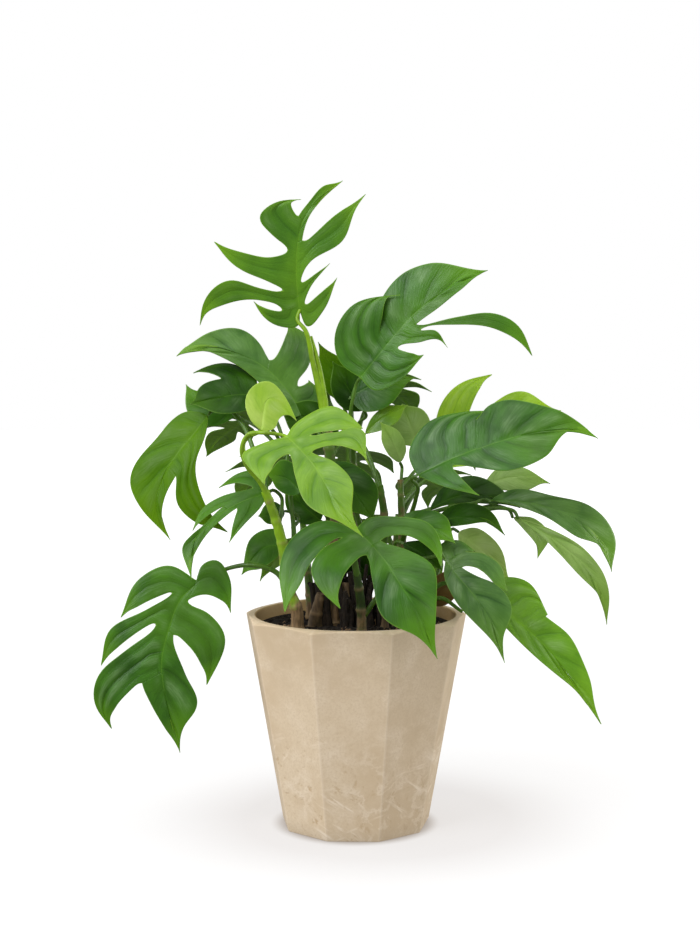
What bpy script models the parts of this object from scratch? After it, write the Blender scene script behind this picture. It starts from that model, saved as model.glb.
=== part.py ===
"""Potted mini monstera: a climbing plant with split leaves, in a nine-sided pot of pale stone mix.

Metres, +Z up. The origin is the centre of the pot's underside, and the front faces -Y.
Every leaf blade, the pot, the soil and each leafy stem with its leaf stalks is one object.
"""

import bmesh
import bpy
import numpy as np
from collections import namedtuple
from math import ceil, cos, pi, radians, sin
from mathutils import Matrix, Vector

MM = 0.001

# Driving dimensions of the pot
POT_HEIGHT = 185 * MM
POT_SIDES = 9
POT_TURN = radians(-2)
POT_RIM_CORNER = 98.9 * MM
POT_FOOT_CORNER = 65.3 * MM
POT_CORNER_CUT = 0.7 * MM
POT_CORNER_SHARE = 0.07
POT_FACET_SHARE = 0.18
POT_RIM_ROUND = 1.4 * MM
RIM_BEND = 0.3
POT_FOOT_ROUND = 1.2 * MM
POT_MOUTH_RADIUS = 86.5 * MM
POT_FLOOR_RADIUS = 56.0 * MM
POT_FLOOR = 9 * MM

# Driving dimensions of the soil and of what stands in it
SOIL_LEVEL = 175 * MM
SOIL_RELIEF = 1.2 * MM
SOIL_WAVES = (9 * MM, 11 * MM, 6 * MM)
SOIL_RINGS = (1.0, 0.86, 0.62, 0.36, 0.12)
STEM_DEPTH = 26 * MM
GAP = 0.3 * MM
SOIL_GAP = 0.36 * MM
HOLE_SPARE = 0.4 * MM

# Driving dimensions of the foliage
BLADE = 0.8 * MM
STALK_END_RADIUS = 1.4 * MM
SEAT_GAP = 0.45 * MM
SEAT_RISE = 2.4 * MM
SEAT_RUN = 6 * MM
STALK_SIDES = 6
STEM_SIDES = 8
HOLE_SIDES = 16
RING_SPACING = 14 * MM

# How finely the leaves are drawn, in steps or in shares of the midrib
RIB_STEPS = 40
MARGIN_STEPS = 40
CURVE_STEPS = 200
FINE_STEPS = 24
LOBE_ROWS = 3
END_ROWS = 2
WIDEST_COLUMN = 0.19
LEAST_FOOT = 0.045
SAME_FOOT = 0.04
CLOSE = 1e-6
WELD = 0.05 * MM

# How roundly a slit ends, the reach over which the midrib's slope beside it is taken,
# and how far a side vein runs forward before it reaches the margin
SINUS_ROUND = 0.7
RIB_REACH = 0.03
VEIN_SWEEP = 0.25
SMOOTH_ANGLE = radians(40)

# A lobe's outline in leaf lengths, as (along, out) points: the margin nearer the stalk, the tip,
# the margin nearer the leaf's end, and the notch that parts it from the next lobe.
Lobe = namedtuple("Lobe", "back tip front notch lift", defaults=(0.0,))

# One half of a blade: its lobes in order, and the margin that runs on to the leaf's tip.
Half = namedtuple("Half", "lobes end")

# A leaf: base and tip in millimetres, the way its upper face looks, its midrib, its two halves,
# and how the blade bends: arch along it, twist, the fold up from the midrib and the droop of the margins.
Leaf = namedtuple(
    "Leaf",
    "base tip face rib one other arch twist fold droop seat",
    defaults=(0.5, 0.0, 0.16, 0.35, -1),
)

NARROW = Half([], [(0.25, 0.15), (0.6, 0.17), (0.88, 0.06)])
NARROW_BACK = Half([], [(0.25, -0.15), (0.6, -0.17), (0.88, -0.06)])

BROAD = Half(
    [
        Lobe([(-0.13, 0.12), (-0.02, 0.38)], (0.3, 0.46), [(0.2, 0.26)], (0.2, 0.1)),
        Lobe([(0.32, 0.28)], (0.62, 0.42), [(0.47, 0.22)], (0.44, 0.1)),
    ],
    [(0.62, 0.2), (0.84, 0.13)],
)
BROAD_BACK = Half(
    [
        Lobe([(-0.13, -0.12), (-0.02, -0.36)], (0.28, -0.47), [(0.2, -0.27)], (0.2, -0.1)),
        Lobe([(0.3, -0.29)], (0.6, -0.44), [(0.46, -0.24)], (0.43, -0.11)),
    ],
    [(0.62, -0.22), (0.84, -0.12)],
)
STRAIGHT_RIB = [(0.35, 0.02), (0.7, 0.02)]

LEAVES = {
    "leaf_top": Leaf(
        (-48, 0, 448), (-11, -20, 557), (0, -1, 0.1),
        [(0.24, 0.1), (0.45, 0.16), (0.62, 0.18), (0.83, 0.12)],
        Half(
            [
                Lobe(
                    [(-0.11, -0.03), (-0.16, 0.11), (-0.12, 0.26)], (-0.04, 0.35),
                    [(-0.06, 0.25)], (-0.03, 0.12),
                ),
                Lobe(
                    [(-0.02, 0.32), (-0.15, 0.56), (-0.26, 0.65)], (-0.38, 0.67),
                    [(-0.17, 0.7), (0.06, 0.56), (0.07, 0.31)], (0.11, 0.15),
                ),
                Lobe(
                    [(0.13, 0.24), (0.16, 0.51), (0.21, 0.65)], (0.29, 0.76),
                    [(0.28, 0.51), (0.32, 0.3)], (0.4, 0.21),
                ),
                Lobe([(0.46, 0.34), (0.56, 0.49), (0.7, 0.41)], (0.78, 0.23), [(0.73, 0.3)], (0.66, 0.22)),
            ],
            [(0.78, 0.18), (0.93, 0.11)],
        ),
        Half(
            [
                Lobe([(-0.1, -0.09), (0.07, -0.17)], (0.34, -0.19), [(0.17, -0.1)], (0.06, -0.02)),
                Lobe([(0.17, -0.02)], (0.42, -0.11), [(0.32, -0.04)], (0.21, 0.06)),
                Lobe(
                    [(0.34, 0.05), (0.61, -0.15), (0.83, -0.16)], (0.98, -0.2),
                    [(0.75, -0.03)], (0.5, 0.14),
                ),
            ],
            [(0.66, 0.15), (0.85, 0.09)],
        ),
        0.25, 0.0, 0.14, 0.1, 1,
    ),
    "leaf_upper_right": Leaf(
        (4, -20, 391), (110, -40, 482), (-0.15, -1, 0.35),
        [(0.15, 0.02), (0.34, 0.05), (0.51, 0.07), (0.72, 0.06), (0.9, 0.05)],
        Half(
            [
                Lobe(
                    [(-0.04, 0.14), (0.05, 0.3), (0.25, 0.36)], (0.52, 0.2),
                    [(0.39, 0.22)], (0.27, 0.12), 0.06,
                ),
            ],
            [(0.44, 0.26), (0.59, 0.31), (0.81, 0.22)],
        ),
        Half(
            [
                Lobe([(0.02, -0.12), (0.2, -0.19)], (0.4, -0.16), [(0.33, -0.09)], (0.3, -0.02)),
                Lobe([(0.42, -0.09), (0.52, -0.15)], (0.53, -0.23), [(0.54, -0.1)], (0.47, -0.03)),
                Lobe(
                    [(0.64, -0.14), (0.83, -0.33), (0.88, -0.47)], (0.89, -0.58),
                    [(0.95, -0.38), (0.88, -0.24), (0.69, -0.12)], (0.47, 0.01), -0.02,
                ),
            ],
            [(0.62, 0.0), (0.84, 0.0)],
        ),
        0.35, 0.0, 0.1, 0.25,
    ),
    "leaf_right_big": Leaf(
        (51, -50, 310), (202, -60, 343), (-0.1, -0.85, 0.5),
        [(0.18, 0.03), (0.35, 0.05), (0.54, 0.07), (0.75, 0.08), (0.93, 0.08)],
        Half(
            [Lobe([(-0.02, 0.13), (0.09, 0.27), (0.28, 0.3)], (0.44, 0.27), [(0.42, 0.25)], (0.38, 0.22))],
            [(0.54, 0.3), (0.71, 0.24), (0.9, 0.13)],
        ),
        Half(
            [Lobe([(0.14, -0.12)], (0.32, -0.22), [(0.24, -0.1)], (0.21, -0.01))],
            [(0.33, -0.06), (0.48, -0.12), (0.69, -0.08), (0.85, 0.05)],
        ),
        0.5, 0.0, 0.12, 0.3,
    ),
    "leaf_low_left": Leaf(
        (-134, -30, 217), (-149, -50, 73), (0.1, -1, 0.35),
        [(0.1, -0.085), (0.29, -0.14), (0.49, -0.16), (0.67, -0.12), (0.85, -0.06)],
        Half(
            [
                Lobe(
                    [(-0.09, 0.0), (-0.14, 0.09), (-0.04, 0.18)], (0.17, 0.21),
                    [(0.1, 0.15), (0.07, 0.05)], (0.12, -0.055),
                ),
                Lobe(
                    [(0.17, 0.07), (0.3, 0.19), (0.46, 0.17)], (0.6, 0.11),
                    [(0.5, 0.08), (0.37, -0.02)], (0.32, -0.11),
                ),
            ],
            [(0.53, -0.02), (0.69, 0.07), (0.85, 0.02)],
        ),
        Half(
            [
                Lobe([(-0.08, -0.18), (0.05, -0.37)], (0.26, -0.43), [(0.15, -0.29)], (0.08, -0.14)),
                Lobe([(0.19, -0.28), (0.34, -0.49)], (0.55, -0.51), [(0.4, -0.4)], (0.27, -0.21)),
                Lobe(
                    [(0.43, -0.37), (0.6, -0.52), (0.75, -0.53)], (0.91, -0.4),
                    [(0.81, -0.41), (0.68, -0.34)], (0.61, -0.26),
                ),
            ],
            [(0.72, -0.2), (0.86, -0.1)],
        ),
        0.4, 0.0, 0.1, 0.2,
    ),
    "leaf_low_centre": Leaf(
        (0, -90, 269), (65, -140, 172), (0.1, -1, 0.4),
        [(0.1, 0.02), (0.3, 0.04), (0.5, 0.04), (0.73, 0.04)],
        Half(
            [
                Lobe(
                    [(-0.03, 0.09), (0.06, 0.26), (0.22, 0.43), (0.39, 0.42)], (0.51, 0.33),
                    [(0.33, 0.32), (0.18, 0.2)], (0.16, 0.09),
                ),
            ],
            [(0.29, 0.19), (0.47, 0.28), (0.72, 0.16)],
        ),
        Half(
            [
                Lobe(
                    [(-0.2, -0.15), (-0.2, -0.38), (-0.03, -0.57)], (0.23, -0.67),
                    [(0.17, -0.55), (0.03, -0.34)], (0.01, -0.1), -0.05,
                ),
                Lobe(
                    [(0.01, -0.22), (0.1, -0.39), (0.27, -0.42)], (0.44, -0.37),
                    [(0.32, -0.31), (0.22, -0.17)], (0.2, -0.04), 0.03,
                ),
            ],
            [(0.37, -0.1), (0.6, -0.17), (0.82, -0.06)],
        ),
        0.45, 0.0, 0.1, 0.25,
    ),
    "leaf_bright": Leaf(
        (-56, -90, 345), (6, -150, 271), (0.2, -1, 0.45),
        [(0.16, 0.01), (0.38, 0.01), (0.66, -0.03), (0.87, -0.03)],
        Half(
            [
                Lobe(
                    [(-0.05, 0.07), (-0.08, 0.23), (-0.05, 0.42), (0.11, 0.49)], (0.26, 0.49),
                    [(0.14, 0.32)], (0.09, 0.13),
                ),
                Lobe([(0.16, 0.29), (0.25, 0.43)], (0.5, 0.36), [(0.36, 0.3), (0.25, 0.16)], (0.24, 0.06)),
            ],
            [(0.41, 0.14), (0.6, 0.16), (0.79, 0.05)],
        ),
        Half(
            [
                Lobe(
                    [(-0.03, -0.19), (-0.04, -0.35), (0.12, -0.38)], (0.29, -0.36),
                    [(0.23, -0.28), (0.17, -0.18)], (0.17, -0.08),
                ),
            ],
            [(0.35, -0.15), (0.58, -0.21), (0.86, -0.08)],
        ),
        0.4, 0.0, 0.12, 0.25,
    ),
    "leaf_bright_upper": Leaf(
        (-78, -70, 348), (-49, -52, 356), (-0.1, -1, 0.2),
        [(0.2, 0.35), (0.55, 0.75), (0.85, 0.55)],
        Half([], [(-0.2, 0.45), (0.1, 1.05), (0.75, 1.12), (1.0, 0.6)]),
        Half([], [(0.32, -0.05), (0.65, 0.2)]),
        0.1, 0.0, 0.1, 0.2,
    ),
    "leaf_left_upper": Leaf(
        (-46, 20, 358), (-154, 0, 410), (-0.1, -0.85, 0.55),
        [(0.19, -0.11), (0.39, -0.18), (0.62, -0.19), (0.84, -0.16), (0.96, -0.1)],
        Half(
            [
                Lobe([(-0.1, -0.1), (-0.06, -0.24)], (0.05, -0.27), [(0.07, -0.21)], (0.12, -0.17)),
                Lobe([(0.09, -0.36), (0.14, -0.6)], (0.35, -0.62), [(0.33, -0.45)], (0.38, -0.25)),
            ],
            [(0.46, -0.32), (0.62, -0.38), (0.87, -0.24)],
        ),
        Half([], [(0.05, 0.06), (0.3, -0.02), (0.6, -0.1), (0.88, -0.09)]),
        0.45, 0.0, 0.1, 0.3,
    ),
    "leaf_left_dark": Leaf(
        (-84, 0, 376), (-141, -20, 369), (-0.2, -0.8, 0.6),
        [(0.26, 0.0), (0.56, 0.0)],
        Half(
            [
                Lobe(
                    [(-0.05, -0.34), (0.2, -0.62), (0.52, -0.7)], (0.81, -0.63),
                    [(0.6, -0.5)], (0.47, -0.32),
                ),
            ],
            [(0.72, -0.28)],
        ),
        Half([], [(0.2, 0.28), (0.6, 0.31), (0.9, 0.15)]),
        0.4, 0.0, 0.12, 0.3,
    ),
    "leaf_left_droop": Leaf(
        (-126, -12, 359), (-159, -30, 253), (-0.35, -1, 0.3),
        [(0.17, -0.05), (0.32, -0.11), (0.51, -0.17), (0.72, -0.18), (0.9, -0.11)],
        Half(
            [
                Lobe(
                    [(0.15, 0.05), (0.39, 0.05), (0.68, 0.21)], (0.85, 0.4),
                    [(0.82, 0.14), (0.72, 0.0)], (0.52, -0.07),
                ),
            ],
            [(0.7, -0.11), (0.88, -0.09)],
        ),
        Half([], [(0.02, -0.18), (0.29, -0.33), (0.63, -0.44), (0.84, -0.3)]),
        0.5, 0.0, 0.16, 0.5,
    ),
    "leaf_left_thin": Leaf(
        (-74, -30, 294), (-137, -68, 225), (-0.25, -1, 0.4),
        [(0.24, -0.12), (0.5, -0.19), (0.74, -0.19), (0.9, -0.12)],
        Half(
            [
                Lobe([(-0.14, -0.15), (0.04, -0.34)], (0.23, -0.37), [(0.1, -0.26)], (0.06, -0.12)),
                Lobe([(0.29, -0.28), (0.48, -0.34)], (0.67, -0.28), [(0.5, -0.25)], (0.34, -0.2)),
            ],
            [(0.6, -0.22), (0.82, -0.24)],
        ),
        Half(
            [Lobe([(0.13, 0.05), (0.39, 0.05)], (0.57, 0.04), [(0.39, -0.04)], (0.29, -0.1))],
            [(0.54, -0.14), (0.87, -0.09)],
        ),
        0.4, 0.0, 0.12, 0.4,
    ),
    "leaf_far_left": Leaf(
        (-104, 30, 356), (-149, 28, 384), (-0.2, -0.9, 0.4),
        [(0.4, 0.1), (0.75, 0.13)],
        Half([], [(0.25, 0.38), (0.62, 0.45), (0.9, 0.25)]),
        Half([], [(0.4, -0.12), (0.8, -0.02)]),
        0.4, 0.0, 0.12, 0.3,
    ),
    "leaf_right_arch": Leaf(
        (115, -20, 286), (220, -30, 227), (0.2, -0.75, 0.75),
        [(0.2, 0.11), (0.45, 0.2), (0.73, 0.22), (0.91, 0.15)],
        Half([], [(0.1, 0.17), (0.37, 0.29), (0.67, 0.39), (0.93, 0.3)]),
        Half([], [(0.17, 0.05), (0.41, 0.08), (0.66, 0.07), (0.87, 0.12)]),
        0.3, 0.0, 0.14, 0.4,
    ),
    "leaf_right_under": Leaf(
        (138, -30, 272), (213, -40, 181), (-0.2, -0.9, -0.3),
        [(0.2, 0.09), (0.46, 0.16), (0.7, 0.17), (0.88, 0.1)],
        Half([], [(0.19, 0.14), (0.52, 0.26), (0.82, 0.19)]),
        Half([], [(0.16, 0.05), (0.53, 0.09), (0.83, 0.09)]),
        0.2, 0.0, 0.1, 0.3,
    ),
    "leaf_right_small": Leaf(
        (135, -12, 271), (156, -22, 236), (-0.1, -0.9, -0.3),
        [(0.3, 0.19), (0.67, 0.25)],
        Half([], [(0.26, 0.39), (0.76, 0.47), (0.94, 0.21)]),
        Half([], [(0.37, 0.08), (0.76, 0.12)]),
        0.2, 0.0, 0.1, 0.2,
    ),
    "leaf_low_right": Leaf(
        (75, -60, 240), (123, -90, 159), (0.25, -1, 0.3),
        [(0.17, 0.01), (0.39, 0.04), (0.62, 0.06), (0.82, 0.04)],
        Half(
            [
                Lobe([(-0.14, 0.03), (-0.1, 0.2)], (0.05, 0.27), [(0.02, 0.18)], (0.0, 0.09)),
                Lobe([(0.07, 0.3), (0.26, 0.39)], (0.5, 0.33), [(0.32, 0.31), (0.16, 0.19)], (0.13, 0.08)),
            ],
            [(0.34, 0.24), (0.61, 0.28), (0.82, 0.09)],
        ),
        Half([], [(0.1, -0.08), (0.36, -0.13), (0.69, -0.05)]),
        0.45, 0.0, 0.12, 0.3,
    ),
    "leaf_low_right_light": Leaf(
        (108, -30, 208), (208, -60, 101), (0.3, -0.9, 0.3),
        [(0.29, 0.03), (0.49, 0.04), (0.71, 0.03), (0.89, 0.01)],
        Half(
            [Lobe([(0.01, 0.14), (0.14, 0.24)], (0.34, 0.18), [(0.34, 0.16)], (0.33, 0.13))],
            [(0.5, 0.19), (0.69, 0.14)],
        ),
        Half([], [(0.16, -0.05), (0.47, -0.05), (0.76, 0.0)]),
        0.4, 0.0, 0.14, 0.3,
    ),
    "leaf_right_back": Leaf(
        (84, 30, 310), (180, 20, 362), (0, -0.9, 0.45),
        [(0.32, 0.09), (0.66, 0.14)],
        Half(
            [Lobe([(0.0, 0.27), (0.16, 0.52), (0.41, 0.62)], (0.66, 0.56), [(0.48, 0.46)], (0.3, 0.25))],
            [(0.42, 0.26), (0.77, 0.27)],
        ),
        Half([], [(0.24, -0.1), (0.72, -0.02)]),
        0.35, 0.0, 0.12, 0.3,
    ),
    "leaf_right_back_low": Leaf(
        (110, 10, 295), (171, 14, 298), (0, -0.8, 0.6),
        [(0.41, 0.1), (0.76, 0.1)],
        Half([], [(0.28, 0.27), (0.67, 0.24)]),
        Half([], [(0.25, -0.1), (0.62, -0.13)]),
        0.4, 0.0, 0.12, 0.3,
    ),
    "leaf_top_back": Leaf(
        (-5, 30, 372), (53, 30, 390), (0.1, -0.9, 0.45),
        [(0.35, 0.06), (0.7, 0.05)],
        Half([], [(0.22, 0.22), (0.52, 0.23), (0.84, 0.08)]),
        Half([], [(0.1, -0.26), (0.43, -0.34), (0.73, -0.19)]),
        0.4, 0.0, 0.12, 0.25,
    ),
    "leaf_right_mid": Leaf(
        (64, -5, 277), (142, -15, 280), (0.1, -0.7, 0.7),
        [(0.33, 0.14), (0.66, 0.13)],
        Half([], [(0.14, 0.28), (0.44, 0.41), (0.77, 0.27)]),
        Half([], [(0.27, 0.02), (0.66, 0.01)]),
        0.4, 0.0, 0.12, 0.3,
    ),
    "leaf_left_low": Leaf(
        (-60, -2, 244), (-99, -10, 221), (-0.1, -0.6, 0.8),
        [(0.3, -0.23), (0.7, -0.16)],
        Half([], [(-0.1, -0.45), (0.12, -0.64), (0.4, -0.64), (0.75, -0.34)]),
        Half([], [(0.25, 0.14), (0.62, 0.18)]),
        0.3, 0.0, 0.12, 0.2,
    ),
    "leaf_left_small": Leaf(
        (-60, -12, 276), (-84, -14, 272), (-0.1, -0.8, 0.5),
        [(0.5, 0.05)],
        Half([], [(0.3, 0.42), (0.72, 0.4)]),
        Half([], [(0.33, -0.45), (0.75, -0.32)]),
        0.3, 0.0, 0.12, 0.2,
    ),
    "leaf_centre_dark": Leaf(
        (-24, -18, 318), (16, -38, 270), (0.1, -0.8, 0.5),
        [(0.5, 0.02)],
        Half([], [(0.14, 0.2), (0.34, 0.3), (0.58, 0.33), (0.84, 0.22)]),
        Half([], [(0.2, -0.26), (0.6, -0.26)]),
        0.35, 0.0, 0.12, 0.3,
    ),
    "leaf_centre_left": Leaf(
        (-46, -22, 292), (-76, -32, 310), (-0.1, -0.8, 0.5),
        [(0.5, -0.14)],
        Half([], [(0.2, -0.35), (0.45, -0.54), (0.8, -0.5)]),
        Half([], [(0.26, 0.21), (0.6, 0.22)]),
        0.3, 0.0, 0.12, 0.2,
    ),
    "leaf_mid_right": Leaf(
        (36, -42, 270), (83, -66, 255), (0.1, -0.7, 0.7),
        [(0.35, 0.08), (0.7, 0.07)],
        Half([], [(0.08, 0.28), (0.3, 0.4), (0.6, 0.4), (0.88, 0.18)]),
        Half([], [(0.3, -0.16), (0.7, -0.14)]),
        0.35, 0.0, 0.12, 0.3,
    ),
    "leaf_blade_dark": Leaf(
        (67, -40, 270), (126, -50, 260), (0.1, -0.8, 0.6),
        [(0.35, 0.12), (0.7, 0.18)],
        Half([], [(0.12, 0.22), (0.3, 0.35), (0.55, 0.37), (0.85, 0.24)]),
        Half([], [(0.15, -0.06), (0.42, 0.0), (0.75, 0.12)]),
        0.35, 0.0, 0.12, 0.3,
    ),
    "leaf_light_back": Leaf(
        (90, 16, 255), (135, 2, 213), (0.2, -0.9, 0.3),
        [(0.5, 0.04)],
        Half([], [(0.12, 0.2), (0.4, 0.26), (0.77, 0.17)]),
        Half([], [(0.2, -0.18), (0.6, -0.2)]),
        0.3, 0.0, 0.12, 0.3,
    ),
    "leaf_pale_low": Leaf(
        (39, 2, 316), (21, -10, 353), (-0.1, -0.9, 0.3),
        [(0.5, -0.05)],
        Half([], [(0.22, -0.22), (0.53, -0.27), (0.83, -0.18)]),
        Half([], [(0.22, 0.12), (0.6, 0.15)]),
        0.35, 0.0, 0.12, 0.3,
    ),
    "leaf_pale_high": Leaf(
        (57, 42, 329), (42, 52, 366), (0.1, -0.9, 0.3),
        [(0.5, 0.02)],
        Half([], [(0.06, 0.24), (0.4, 0.52), (0.85, 0.38)]),
        Half([], [(0.12, -0.26), (0.4, -0.42), (0.8, -0.32)]),
        0.35, 0.0, 0.12, 0.3,
    ),
    "leaf_centre_top": Leaf(
        (8, 22, 340), (46, 24, 366), (0.0, -0.9, 0.4),
        [(0.5, 0.06)],
        Half([], [(0.3, 0.18), (0.7, 0.2)]),
        Half([], [(0.3, -0.14), (0.75, -0.16)]),
        0.35, 0.0, 0.12, 0.3,
    ),
    "leaf_top_left_back": Leaf(
        (-6, 45, 369), (-33, 40, 421), (-0.1, -0.9, 0.3),
        [(0.5, -0.02)],
        Half([], [(0.12, -0.14), (0.36, -0.24), (0.6, -0.2), (0.8, -0.1)]),
        Half([], [(0.1, 0.16), (0.4, 0.24), (0.75, 0.14)]),
        0.35, 0.0, 0.12, 0.3,
    ),
    "leaf_low_dim": Leaf(
        (40, -24, 250), (74, -36, 228), (0.1, -0.8, 0.5),
        [(0.5, 0.04)],
        Half([], [(0.3, 0.26), (0.7, 0.22)]),
        Half([], [(0.3, -0.2), (0.7, -0.16)]),
        0.35, 0.0, 0.12, 0.3,
    ),
    "leaf_back_left": Leaf(
        (-60, 80, 316), (-112, 128, 270), (-0.3, 0.75, 0.6), STRAIGHT_RIB, BROAD, BROAD_BACK,
    ),
    "leaf_back_middle": Leaf(
        (-2, 92, 318), (-22, 168, 262), (0.0, 0.75, 0.66), STRAIGHT_RIB, BROAD, BROAD_BACK,
    ),
    "leaf_back_right": Leaf(
        (62, 84, 296), (116, 132, 254), (0.3, 0.75, 0.6), STRAIGHT_RIB, BROAD, BROAD_BACK,
    ),
    "leaf_back_high": Leaf(
        (20, 74, 386), (58, 128, 352), (0.2, 0.7, 0.7), STRAIGHT_RIB, BROAD, BROAD_BACK,
    ),
    "leaf_back_far_left": Leaf(
        (-92, 60, 352), (-138, 98, 316), (-0.4, 0.7, 0.6), STRAIGHT_RIB, BROAD, BROAD_BACK,
    ),
    "leaf_back_far_right": Leaf(
        (98, 64, 328), (150, 98, 298), (0.35, 0.7, 0.6), STRAIGHT_RIB, BROAD, BROAD_BACK,
    ),
    "leaf_back_inner": Leaf(
        (-28, 72, 376), (-62, 116, 344), (-0.3, 0.7, 0.65), STRAIGHT_RIB, BROAD, BROAD_BACK,
    ),
    "leaf_back_low": Leaf(
        (8, 96, 256), (6, 146, 200), (0.0, 0.8, 0.55), STRAIGHT_RIB, BROAD, BROAD_BACK,
    ),
    "leaf_back_low_left": Leaf(
        (-50, 84, 242), (-90, 124, 196), (-0.4, 0.8, 0.45), STRAIGHT_RIB, NARROW, NARROW_BACK,
    ),
    "leaf_back_low_right": Leaf(
        (50, 88, 236), (84, 132, 192), (0.35, 0.8, 0.5), STRAIGHT_RIB, NARROW, NARROW_BACK,
    ),
}

# A leaf stalk: the leaf that it carries, or its own name if it carries none, its radius where it
# leaves the stem, and its route from there to just before the leaf's base, in millimetres.
Stalk = namedtuple("Stalk", "leaf radius route")

# A stem from the soil up, its radius at the soil and at its end, and the stalks that grow from it.
Vine = namedtuple("Vine", "stem radii stalks")

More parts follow.
